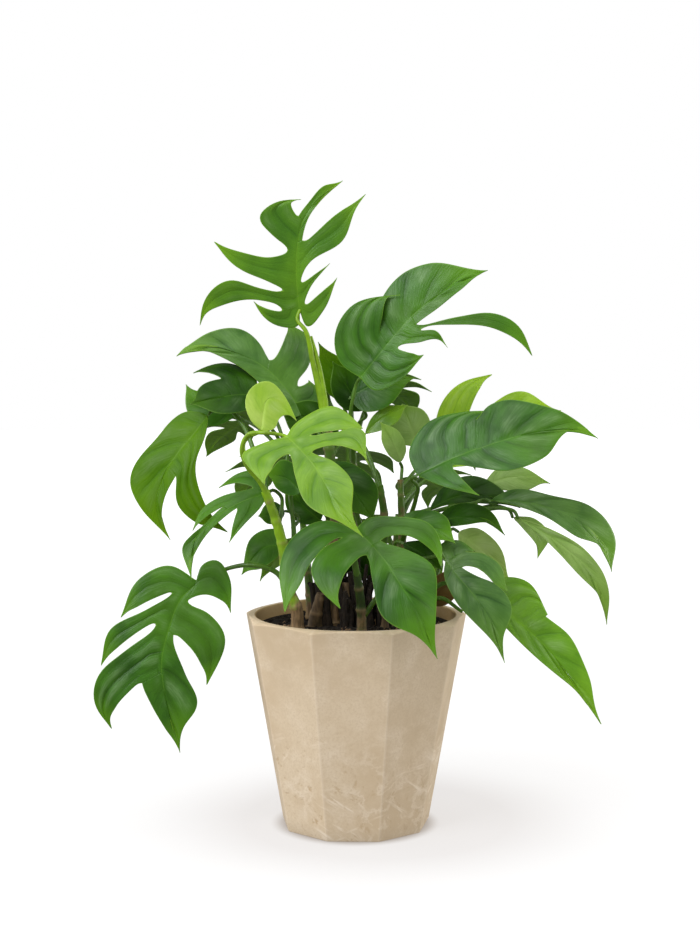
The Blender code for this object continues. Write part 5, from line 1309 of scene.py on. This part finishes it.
def leafy_stem(name, plan, materials):
    """A stem with the stalks of its leaves, over its solid."""
    bm = bmesh.new()
    layers = [bm.verts.layers.float.new(label) for label in ("wood", "scar")]
    x, y, _ = plan.stem[0]
    foot = [(x, y, (SOIL_LEVEL - STEM_DEPTH) / MM), (x, y, SOIL_LEVEL / MM)]
    route = in_metres([*foot, *plan.stem])
    radii = [radius * MM for radius in plan.radii]
    wood = WOOD_OF.get(name, (1.0, 0.1))
    tube(bm, route, radii, STEM_SIDES, STEM_STEP, layers, wood, SCAR_SWELL, SCAR_SPACE)
    for face in bm.faces:
        face.material_index = LOOK_OF.get(name, 0)
    for stalk in plan.stalks:
        points = in_metres(stalk.route)
        end_way = None
        if stalk.leaf in LEAVES:
            seat, end_way = Blade(LEAVES[stalk.leaf]).seat()
            seat[1] = seat[1] - end_way * STALK_SINK
            points += seat
        radii = (stalk.radius * MM, STALK_END_RADIUS)
        drawn = len(bm.faces)
        tube(bm, points, radii, STALK_SIDES, STALK_STEP, layers, (0.05, -0.1), end_way=end_way)
        bm.faces.ensure_lookup_table()
        young = TONE_OF.get(stalk.leaf) in YOUNG_TONES or stalk.leaf == "sheath"
        for face in bm.faces[drawn:]:
            face.material_index = int(young)
    bmesh.ops.recalc_face_normals(bm, faces=bm.faces)
    obj = finished(f"{name}_stem", bm, materials)
    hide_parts(name)
    return obj


def stem_material(name, green, light, bark_colour):
    """Green stalks, woody and scarred towards the foot of a stem."""
    material, net, shader = new_material(name)
    place = net.place()
    wood, scar = net.attribute("wood"), net.attribute("scar")
    long_way = net.add("Mapping", {"Vector": place, "Scale": (1.0, 1.0, 0.25)}).outputs[0]
    streaks = net.noise(long_way, 420, 3)
    patches = net.noise(place, 70, 3)
    dark = scaled(green, 0.66)
    colour = net.mix(net.between(patches, 0.35, 0.7), green, dark)
    colour = net.mix(net.times(net.between(streaks, 0.55, 0.8), 0.5), colour, light)
    worn_bark = scaled(bark_colour, 2.4)
    bark = net.mix(net.between(streaks, 0.3, 0.7), bark_colour, worn_bark)
    worn = net.plus(wood, net.times(net.minus(patches, 0.5), 1.6))
    colour = net.mix(net.between(worn, 0.35, 0.75), colour, bark)
    mark = net.times(scar, net.between(patches, 0.3, 0.6))
    colour = net.mix(net.times(mark, 0.6), colour, SCAR_COLOUR)
    rough = net.between(worn, 0.2, 0.8, 0.38, 0.75)
    net.give(shader, {"Base Color": colour, "Roughness": rough})
    bumped(net, shader, streaks, STEM_RELIEF)
    return material


class PLANTER_OT_stems(bpy.types.Operator):
    """Draw the leafy stems, each with the stalks of its leaves"""

    bl_idname = "planter.stems"
    bl_label = "Stems and stalks"

    def execute(self, context):
        sizes = context.scene.plant_sizes
        bark = tuple(sizes.bark)
        grown = stem_material("Stem and stalk", tuple(sizes.stalk), STREAK, bark)
        young = stem_material("Young stalk", tuple(sizes.young_stalk), YOUNG_STREAK, bark)
        shaded = stem_material("Shaded stem", scaled(sizes.stalk, 0.45), SHADED_STREAK, bark)
        for name, plan in VINES.items():
            leafy_stem(name, plan, [grown, young, shaded])
        return {"FINISHED"}


def outline(angle, corner, fillet):
    """The radius, at an angle from the front, of a nine-sided outline with rounded corners."""
    step = 2 * pi / POT_SIDES
    off = (angle - POT_TURN + step / 2) % step - step / 2
    from_corner = step / 2 - abs(off)
    centre = corner - fillet / cos(step / 2)
    touch = fillet * sin(step / 2) / (centre + fillet * cos(step / 2))
    if from_corner < touch:
        return centre * cos(from_corner) + sqrt(fillet**2 - (centre * sin(from_corner)) ** 2)
    return corner * cos(step / 2) / cos(off)


def inner_radius(height):
    """The radius of the round hollow at a height."""
    share = (height - POT_FLOOR) / (POT_HEIGHT - POT_FLOOR)
    return POT_FLOOR_RADIUS + (POT_MOUTH_RADIUS - POT_FLOOR_RADIUS) * share


def pot_angles():
    """The angles round the pot where an outline has a point, closer together at its corners."""
    step = 2 * pi / POT_SIDES
    half = [0, 0.1, 0.2, 0.3, 0.38, 0.43, 0.46, 0.475, 0.485, 0.493, 0.5]
    shares = [-share for share in reversed(half)] + half[1:-1]
    return [POT_TURN + step * (side + share) for side in range(POT_SIDES) for share in shares]


def pot_ring(bm, height, radius_at, worn):
    """A closed loop of points and edges at one height."""
    angles = pot_angles()
    made = bmesh.ops.create_circle(bm, segments=len(angles), radius=1)["verts"]
    step = 2 * pi / POT_SIDES
    for angle, vert in zip(angles, made):
        radius = radius_at(angle)
        vert.co = (radius * sin(angle), -radius * cos(angle), height)
        off = (angle - POT_TURN + step / 2) % step - step / 2
        # How far the point lies from the nearest upright corner, in millimetres
        vert[worn] = (step / 2 - abs(off)) * radius / MM
    return list({edge for vert in made for edge in vert.link_edges})


def bridged(bm, rings):
    for low, high in zip(rings, rings[1:]):
        bmesh.ops.bridge_loops(bm, edges=low + high)


def pot_shell(finish, materials):
    """The pot: leaning facets, a round lip, a round hollow and a nearly sharp foot."""
    bm = bmesh.new()
    worn = bm.verts.layers.float.new("worn")
    top, rim, foot = POT_HEIGHT, POT_RIM_ROUND, POT_FOOT_ROUND

    def facets(height, inset):
        corner = POT_FOOT_CORNER + (POT_RIM_CORNER - POT_FOOT_CORNER) * height / POT_HEIGHT
        lip = LIP_RADIUS + LIP_SLOPE * (top - height)

        def radius_at(angle):
            flat = outline(angle, corner, finish.corner)
            over = flat - lip
            return flat - (over + sqrt(over**2 + LIP_BLEND**2)) / 2 - inset

        return radius_at

    def hollow(height, inset=0.0):
        return lambda angle: inner_radius(height) - inset

    def ring(height, radius_at):
        return pot_ring(bm, height, radius_at, worn)

    rings = [ring(0, facets(0, foot)), ring(0.3 * foot, facets(0, 0.3 * foot))]
    shoulder = top - LIP_REACH
    heights = [foot + (shoulder - foot) * k / POT_BANDS for k in range(POT_BANDS)]
    heights += list(np.linspace(shoulder, top - rim, POT_BANDS)[:-1])
    rings += [ring(height, facets(height, 0)) for height in heights]
    turns = [pi / 2 * k / 4 for k in range(5)]
    for turn in turns:
        height = top - rim * (1 - sin(turn))
        rings.append(ring(height, facets(height, rim * (1 - cos(turn)))))
    for turn in turns:
        height = top - rim * (1 - cos(turn))
        rings.append(ring(height, hollow(top, -rim * (1 - sin(turn)))))
    for height in (shoulder, top - 20 * MM, POT_FLOOR):
        rings.append(ring(height, hollow(height)))
    bridged(bm, rings)
    bmesh.ops.contextual_create(bm, geom=rings[0])
    bmesh.ops.contextual_create(bm, geom=rings[-1])
    bmesh.ops.recalc_face_normals(bm, faces=bm.faces)
    obj = finished("pot_shell", bm, materials, radians(35))
    for face in obj.data.polygons:
        middle = face.center
        inward = middle.x * face.normal.x + middle.y * face.normal.y < 0
        if inward and middle.z > POT_FLOOR or abs(middle.z - POT_FLOOR) < MM:
            face.material_index = 1
    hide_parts("pot")
    return obj


def stone_group():
    """The stone mix: grain, clouds, pale cast strokes and veins low down, pits and paler corners."""
    net, given, made = new_group(
        "Stone mix effect", ("Stone", "Pale", "Dark"), ("Strokes",), ("Height",),
    )
    place = net.place()
    parts = net.add("SeparateXYZ", {"Vector": place}).outputs
    low = net.between(parts[2], 120 * MM, 40 * MM)
    leftward = net.between(parts[0], 20 * MM, -30 * MM, 0.3, 1)
    warp = net.add("TexNoise", {"Vector": place, "Scale": 22.0, "Detail": 2.0}).outputs["Color"]

    def warped(amount):
        drift = net.add("VectorMath", {0: warp, "Scale": amount}, operation="SCALE").outputs[0]
        return net.add("VectorMath", {0: place, 1: drift}, operation="ADD").outputs[0]

    moved = warped(0.03)
    wide = net.noise(place, 11, 5, 0.62)
    clouds = net.noise(moved, 45, 5, 0.65)
    grain = net.noise(place, 520, 4, 0.7)
    colour = net.mix(net.between(wide, 0.35, 0.65), given["Stone"], given["Dark"])
    colour = net.mix(net.between(clouds, 0.45, 0.75, 0, 0.45), colour, given["Pale"])
    colour = net.mix(net.between(clouds, 0.5, 0.25, 0, 0.35), colour, given["Dark"])
    colour = net.mix(net.between(grain, 0.4, 0.68, 0, 0.65), colour, given["Dark"])

    strokes = None
    straight = warped(0.007)
    for turn, scale, seed in ((0.9, 26, 0.3), (-0.6, 24, 0.9), (0.35, 30, 1.7)):
        inputs = {"Vector": straight, "Rotation": (0.2, turn, 0.3), "Location": (seed, seed, 0)}
        turned = net.add("Mapping", inputs).outputs[0]
        long_way = net.add("Mapping", {"Vector": turned, "Scale": (1.0, 1.0, 8.0)}).outputs[0]
        fibre = net.between(net.noise(long_way, scale, 3, 0.6), 0.56, 0.72)
        where = net.between(net.noise(turned, 16, 1), 0.47, 0.62)
        stroke = net.times(fibre, where)
        strokes = stroke if strokes is None else net.maths("MAXIMUM", strokes, stroke)
    wisps = net.noise(moved, 30, 6, 0.65)
    wisp = net.between(net.maths("ABSOLUTE", net.minus(wisps, 0.5)), 0.0, 0.04, 1, 0)
    wisp = net.times(wisp, net.between(net.noise(place, 17, 1), 0.45, 0.6))
    strokes = net.maths("MAXIMUM", strokes, net.times(wisp, 0.5))
    strokes = net.times(strokes, net.times(low, given["Strokes"]))
    colour = net.mix(strokes, colour, given["Pale"])

    pits = net.between(net.noise(moved, 130, 4, 0.65), 0.56, 0.66)
    pits = net.times(pits, net.between(net.noise(place, 15, 1), 0.32, 0.5))
    pits = net.times(pits, net.times(low, given["Strokes"]))
    pits = net.times(pits, leftward)
    colour = net.mix(pits, colour, (0.74, 0.65, 0.52), "MULTIPLY")
    # Paler within a few millimetres of each upright corner
    corner = net.between(net.attribute("worn"), 0.5, 1.8, 0.24, 0)
    corner = net.times(corner, given["Strokes"])
    colour = net.mix(corner, colour, given["Pale"])
    height = net.plus(net.times(grain, 0.25), net.times(clouds, 0.6))
    height = net.plus(height, net.times(strokes, 0.25))
    height = net.minus(height, net.times(pits, 0.8))
    net.give(made, {"Colour": colour, "Height": height})
    return net.tree


# The stone mix's pale and dark colours, in shares of its own colour
STONE_PALE = (1.18, 1.24, 1.38)
STONE_DARK = (0.86, 0.82, 0.76)


def stone_material(name, stone, strokes, group):
    """The stone mix in one colour; strokes is the strength of its cast strokes, pits and paler corners."""
    material, net, shader = new_material(name)
    pale = tuple(min(1, share * part) for share, part in zip(STONE_PALE, stone))
    dark = tuple(share * part for share, part in zip(STONE_DARK, stone))
    effect = net.add("Group", node_tree=group)
    net.give(effect, {"Stone": stone, "Pale": pale, "Dark": dark, "Strokes": strokes})
    colour = effect.outputs["Colour"]
    net.give(shader, {"Base Color": colour, "Roughness": 0.6, "Specular IOR Level": 0.3})
    bumped(net, shader, effect.outputs["Height"], STONE_RELIEF, 0.7)
    return material


class PLANTER_OT_pot(bpy.types.Operator):
    """Draw the nine-sided stone pot"""

    bl_idname = "planter.pot"
    bl_label = "Pot"

    def execute(self, context):
        finish = context.scene.pot_finish
        group = stone_group()
        outside = stone_material("Stone mix", tuple(finish.stone), 0.8, group)
        inside = stone_material("Stone mix inside", tuple(finish.inside), 0.0, group)
        pot_shell(finish, [outside, inside])
        return {"FINISHED"}


def soil_height(x, y):
    """The soil's lumps at a place, above its mean level."""
    place = Vector((x, y, 0))
    lumps = noise.fractal(place * 70, 1.0, 2.0, 3) * SOIL_LUMPS * MM
    return lumps + noise.fractal(place * 420, 1.0, 2.0, 2) * SOIL_GRAINS * MM


def soil_fill(material):
    """The soil: a lumpy top inside the pot's wall, closed below."""
    bm = bmesh.new()
    made = bmesh.ops.create_grid(bm, x_segments=SOIL_COLUMNS, y_segments=SOIL_COLUMNS, size=1)["verts"]
    top_radius = inner_radius(SOIL_LEVEL) - SOIL_GAP
    for vert in made:
        x, y = vert.co.x, vert.co.y
        flat = Vector((x * sqrt(1 - y * y / 2), y * sqrt(1 - x * x / 2)))
        spot = flat * top_radius
        calm = min(1, (1 - min(1, flat.length)) * SOIL_RISE)
        vert.co = (spot.x, spot.y, SOIL_LEVEL + calm * soil_height(*spot))
    rim = [edge for edge in bm.edges if edge.is_boundary]
    wall = bmesh.ops.extrude_edge_only(bm, edges=rim)["geom"]
    shrink = (inner_radius(SOIL_FOOT) - SOIL_GAP) / top_radius
    low = [item for item in wall if isinstance(item, bmesh.types.BMVert)]
    for vert in low:
        vert.co = (vert.co.x * shrink, vert.co.y * shrink, SOIL_FOOT)
    bmesh.ops.holes_fill(bm, edges=[edge for edge in bm.edges if edge.is_boundary])
    bmesh.ops.recalc_face_normals(bm, faces=bm.faces)
    obj = finished("soil_fill", bm, [material], radians(80))
    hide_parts("soil")
    return obj


# The middle and reach of the dark roots, painted shade between the stems' feet, and the cut stubs:
# route and radii, in millimetres
ROOT_MIDDLE = (4, 16)
ROOT_REACH = (46, 34)
STUBS = (
    ([(-35, -4, 166), (-34, -6, 184), (-30, -9, 204)], (8.0, 3.4)),
    ([(-7, -4, 166), (-9, -2, 190), (-8, 1, 212)], (5.0, 3.4)),
    ([(24, -14, 166), (25, -12, 186), (23, -10, 206)], (4.6, 3.4)),
)


def soil_crumbs(count, materials):
    """Loose crumbs and bark bits lying on the soil, clear of the pot's wall."""
    dice = np.random.default_rng(7)
    bm = bmesh.new()
    reach = inner_radius(SOIL_LEVEL) - CRUMB_MARGIN
    for _ in range(count):
        turn, share = dice.uniform(0, 2 * pi), sqrt(dice.uniform(0, 1))
        x, y = reach * share * cos(turn), reach * share * sin(turn)
        size = dice.uniform(*CRUMB_SIZES)
        place = Matrix.Translation((x, y, SOIL_LEVEL + soil_height(x, y) * 0.9 + 0.2 * size))
        lean = Matrix.Rotation(dice.uniform(0, pi), 4, Vector(dice.normal(size=3)).normalized())
        shape = Matrix.Diagonal((*dice.uniform(0.6, 1.3, 3), 1))
        made = bmesh.ops.create_icosphere(bm, subdivisions=1, radius=size, matrix=place @ lean @ shape)
        light = dice.uniform() < CHIP_SHARE
        for face in {face for vert in made["verts"] for face in vert.link_faces}:
            face.material_index = int(light)
        for vert in made["verts"]:
            vert.co += Vector(dice.normal(size=3)) * CRUMB_UNEVEN * size
    obj = finished("soil_crumbs", bm, materials, radians(20))
    return obj


def root_cluster(count, materials):
    """Dark roots that stand close together between the stems' feet as painted shade, and cut brown stubs."""
    dice = np.random.default_rng(11)
    bm = bmesh.new()
    layers = [bm.verts.layers.float.new(label) for label in ("wood", "scar")]
    for _ in range(count):
        turn, share = dice.uniform(0, 2 * pi), sqrt(dice.uniform(0, 1))
        foot = Vector((ROOT_MIDDLE[0] + ROOT_REACH[0] * share * cos(turn),
                       ROOT_MIDDLE[1] + ROOT_REACH[1] * share * sin(turn))) * MM
        high = (1 - 0.5 * share) * dice.uniform(*ROOT_HEIGHTS)
        bend = foot + Vector(dice.normal(size=2)) * 2 * MM
        head = bend + Vector(dice.normal(size=2)) * 3 * MM
        route = [
            Vector((*foot, SOIL_LEVEL - ROOT_DEPTH)),
            Vector((*bend, SOIL_LEVEL + 0.5 * high)),
            Vector((*head, SOIL_LEVEL + high)),
        ]
        radius = dice.uniform(*ROOT_RADII)
        tube(bm, route, (radius, 0.7 * radius), 8, 5 * MM, layers, (1.0, 1.0))
    drawn = len(bm.faces)
    for route, radii in STUBS:
        radii = [radius * MM for radius in radii]
        tube(bm, in_metres(route), radii, 16, 1.6 * MM, layers, (1.2, 1.0), 0.12, 14 * MM)
    bm.faces.ensure_lookup_table()
    for face in bm.faces[drawn:]:
        face.material_index = 1
    bmesh.ops.recalc_face_normals(bm, faces=bm.faces)
    obj = finished("root_cluster", bm, materials)
    return obj


def soil_material(name, colour, light):
    """A crumbly matt finish with lighter grains."""
    material, net, shader = new_material(name)
    place = net.place()
    lumps = net.noise(place, 260, 4)
    grains = net.noise(place, 1500, 3)
    shade = net.mix(net.between(lumps, 0.4, 0.7), colour, light)
    shade = net.mix(net.times(net.between(grains, 0.62, 0.75), 0.5), shade, light)
    net.give(shader, {"Base Color": shade, "Roughness": 0.95})
    height = net.plus(lumps, net.times(grains, 0.4))
    bumped(net, shader, height, SOIL_RELIEF)
    return material


class PLANTER_OT_soil(bpy.types.Operator):
    """Draw the potting soil with its loose crumbs"""

    bl_idname = "planter.soil"
    bl_label = "Soil"

    def execute(self, context):
        finish = context.scene.pot_finish
        colour = tuple(finish.soil)
        earth = soil_material("Potting soil", colour, scaled(colour, 1.8))
        chips = soil_material("Bark chips", CHIP_COLOUR, CHIP_GRAIN)
        soil_fill(earth)
        soil_crumbs(finish.crumbs, [earth, chips])
        # Near-black roots: painted shade in the gap between the stems' feet
        dark = soil_material("Roots", tuple(finish.root), scaled(finish.root, 2.2))
        sizes = context.scene.plant_sizes
        bark = scaled(sizes.bark, 0.55)
        stub = stem_material("Cut stub", tuple(sizes.stalk), STREAK, bark)
        root_cluster(finish.roots, [dark, stub])
        return {"FINISHED"}


# The lights: name, width, place and colour, and the place that they all face
LIGHTS = (
    ("key", 1.0, (-1.1, -1.1, 1.3), (0.97, 1.0, 1.05)),
    ("top", 1.3, (0.1, -0.2, 1.9), (1, 1, 1)),
    ("front", 0.9, (-0.25, -1.3, 1.75), (1, 1, 1)),
    ("fill", 1.2, (1.6, 0.45, 0.7), (1.0, 0.98, 0.94)),
    ("left", 1.2, (-1.6, 0.6, 0.7), (1, 1, 1)),
)
LIT_PLACE = Vector((0, 0, 0.3))

# The floor: its radius, its colour, how far off it turns into the white of the room, and the
# shade round the pot and at its foot, with where each fades
FLOOR_RADIUS = 6
FLOOR_TINT = (0.2, 0.2, 0.2)
FLOOR_FADE = (0.5, 2.5)
SHADE_MIDDLE = (0.02, 0.01, 0.0)
SHADE_TINT = (0.77, 0.745, 0.735)
SHADE_NEAR = (0.05, 0.22)
SHADE_WIDE = (0.1, 0.5)
CONTACT_TINT = (0.2, 0.15, 0.11)
CONTACT_FADE = (0.058, 0.076)

# The camera: its place, its downward tilt, and its focal length in pixels of the photograph
CAMERA_PLACE = (-0.0047, -1.5, 0.4333)
CAMERA_DOWN = 0.0797
FOCAL_PIXELS = 1737.96
PHOTO_HEIGHT = 933


def area_light(name, power, size, place, colour):
    """A round soft light that faces the middle of the plant."""
    data = bpy.data.lights.new(name, "AREA")
    data.shape = "DISK"
    data.energy = power
    data.size = size
    data.color = colour
    light = bpy.data.objects.new(name, data)
    bpy.context.scene.collection.objects.link(light)
    light.location = place
    light.rotation_euler = (LIT_PLACE - light.location).to_track_quat("-Z", "Y").to_euler()
    return light


def white_room(strength):
    """A world that looks white and lights the plant softly, more from above than from below."""
    world = bpy.data.worlds.new("White room")
    world.use_nodes = True
    net = Net(world.node_tree)
    background = world.node_tree.nodes["Background"]
    way = net.add("SeparateXYZ", {"Vector": net.add("TexCoord").outputs["Generated"]}).outputs[2]
    bright = net.between(way, -0.4, 0.9, 0.95 * strength, 1.2 * strength)
    path = net.add("LightPath").outputs
    for ray, seen in (("Is Glossy Ray", net.times(bright, 0.35)), ("Is Camera Ray", 1.0)):
        inputs = {0: path[ray], 2: bright, 3: seen}
        bright = net.add("Mix", inputs, data_type="FLOAT").outputs[0]
    net.give(background, {"Color": (1, 1, 1), "Strength": bright})
    return world


def floor_material(strength):
    """A pale floor that glows a little, with soft shade round the pot and dark contact at its foot."""
    material, net, shader = new_material("White floor")
    place = net.place()

    def away_from(point):
        way = net.add("VectorMath", {0: place, 1: point}, operation="SUBTRACT").outputs[0]
        return net.add("VectorMath", {0: way}, operation="LENGTH").outputs["Value"]

    tint = net.mix(net.noise(place, 3), FLOOR_TINT, scaled(FLOOR_TINT, 1.02))
    away = away_from(SHADE_MIDDLE)
    shade = net.plus(net.between(away, *SHADE_NEAR, 0.85, 0), net.between(away, *SHADE_WIDE, 0.45, 0))
    plain = net.mix(net.between(away, *FLOOR_FADE), (strength,) * 3, (1.1, 1.1, 1.1))
    glow = net.mix(shade, plain, scaled(SHADE_TINT, strength))
    contact = net.between(away_from((0, 0, 0)), *CONTACT_FADE, 0.85, 0)
    glow = net.mix(contact, glow, CONTACT_TINT)
    net.give(shader, {"Base Color": tint, "Roughness": 0.9, "Specular IOR Level": 0.1})
    net.give(shader, {"Emission Color": glow, "Emission Strength": 1.0})
    return material


class PLANTER_OT_stage(bpy.types.Operator):
    """Set up the pale floor, the soft studio light and the camera"""

    bl_idname = "planter.stage"
    bl_label = "Stage"

    def execute(self, context):
        light = context.scene.studio_light
        bm = bmesh.new()
        bmesh.ops.create_circle(bm, cap_ends=True, segments=64, radius=FLOOR_RADIUS)
        mesh = bpy.data.meshes.new("floor")
        bm.to_mesh(mesh)
        bm.free()
        mesh.materials.append(floor_material(light.floor_glow))
        ground = bpy.data.objects.new("floor", mesh)
        context.scene.collection.objects.link(ground)
        ground.visible_diffuse = False
        ground.visible_glossy = False
        context.scene.world = white_room(light.sky)
        for name, *form in LIGHTS:
            area_light(f"{name.capitalize()} light", getattr(light, name), *form)
        context.scene.view_settings.view_transform = "Standard"
        data = bpy.data.cameras.new("Camera")
        data.sensor_width = 36
        data.lens = FOCAL_PIXELS * data.sensor_width / PHOTO_HEIGHT
        camera = bpy.data.objects.new("Camera", data)
        camera.location = CAMERA_PLACE
        camera.rotation_euler = (pi / 2 - CAMERA_DOWN, 0, 0)
        context.scene.collection.objects.link(camera)
        context.scene.camera = camera
        return {"FINISHED"}


class PLANTER_PT_panel(bpy.types.Panel):
    """The steps that build the potted plant, in order"""

    bl_label = "Potted Mini Monstera"
    bl_space_type = "VIEW_3D"
    bl_region_type = "UI"
    bl_category = "Planter"

    def draw(self, context):
        for values in (context.scene.plant_sizes, context.scene.pot_finish, context.scene.studio_light):
            column = self.layout.column()
            for name in values.__annotations__:
                column.prop(values, name)
        for operator in OPERATORS:
            self.layout.operator(operator.bl_idname)


VALUES = {"plant_sizes": PlantSizes, "pot_finish": PotFinish, "studio_light": StudioLight}
OPERATORS = (PLANTER_OT_stage, PLANTER_OT_pot, PLANTER_OT_soil, PLANTER_OT_stems, PLANTER_OT_leaves)
CLASSES = (*VALUES.values(), *OPERATORS, PLANTER_PT_panel)


def register():
    for cls in CLASSES:
        bpy.utils.register_class(cls)
    for name, cls in VALUES.items():
        setattr(bpy.types.Scene, name, PointerProperty(type=cls))


def unregister():
    for name in VALUES:
        delattr(bpy.types.Scene, name)
    for cls in reversed(CLASSES):
        bpy.utils.unregister_class(cls)


def main():
    register()
    bpy.ops.planter.stage()
    bpy.ops.planter.pot()
    bpy.ops.planter.soil()
    bpy.ops.planter.stems()
    bpy.ops.planter.leaves()


if __name__ == "__main__":
    main()
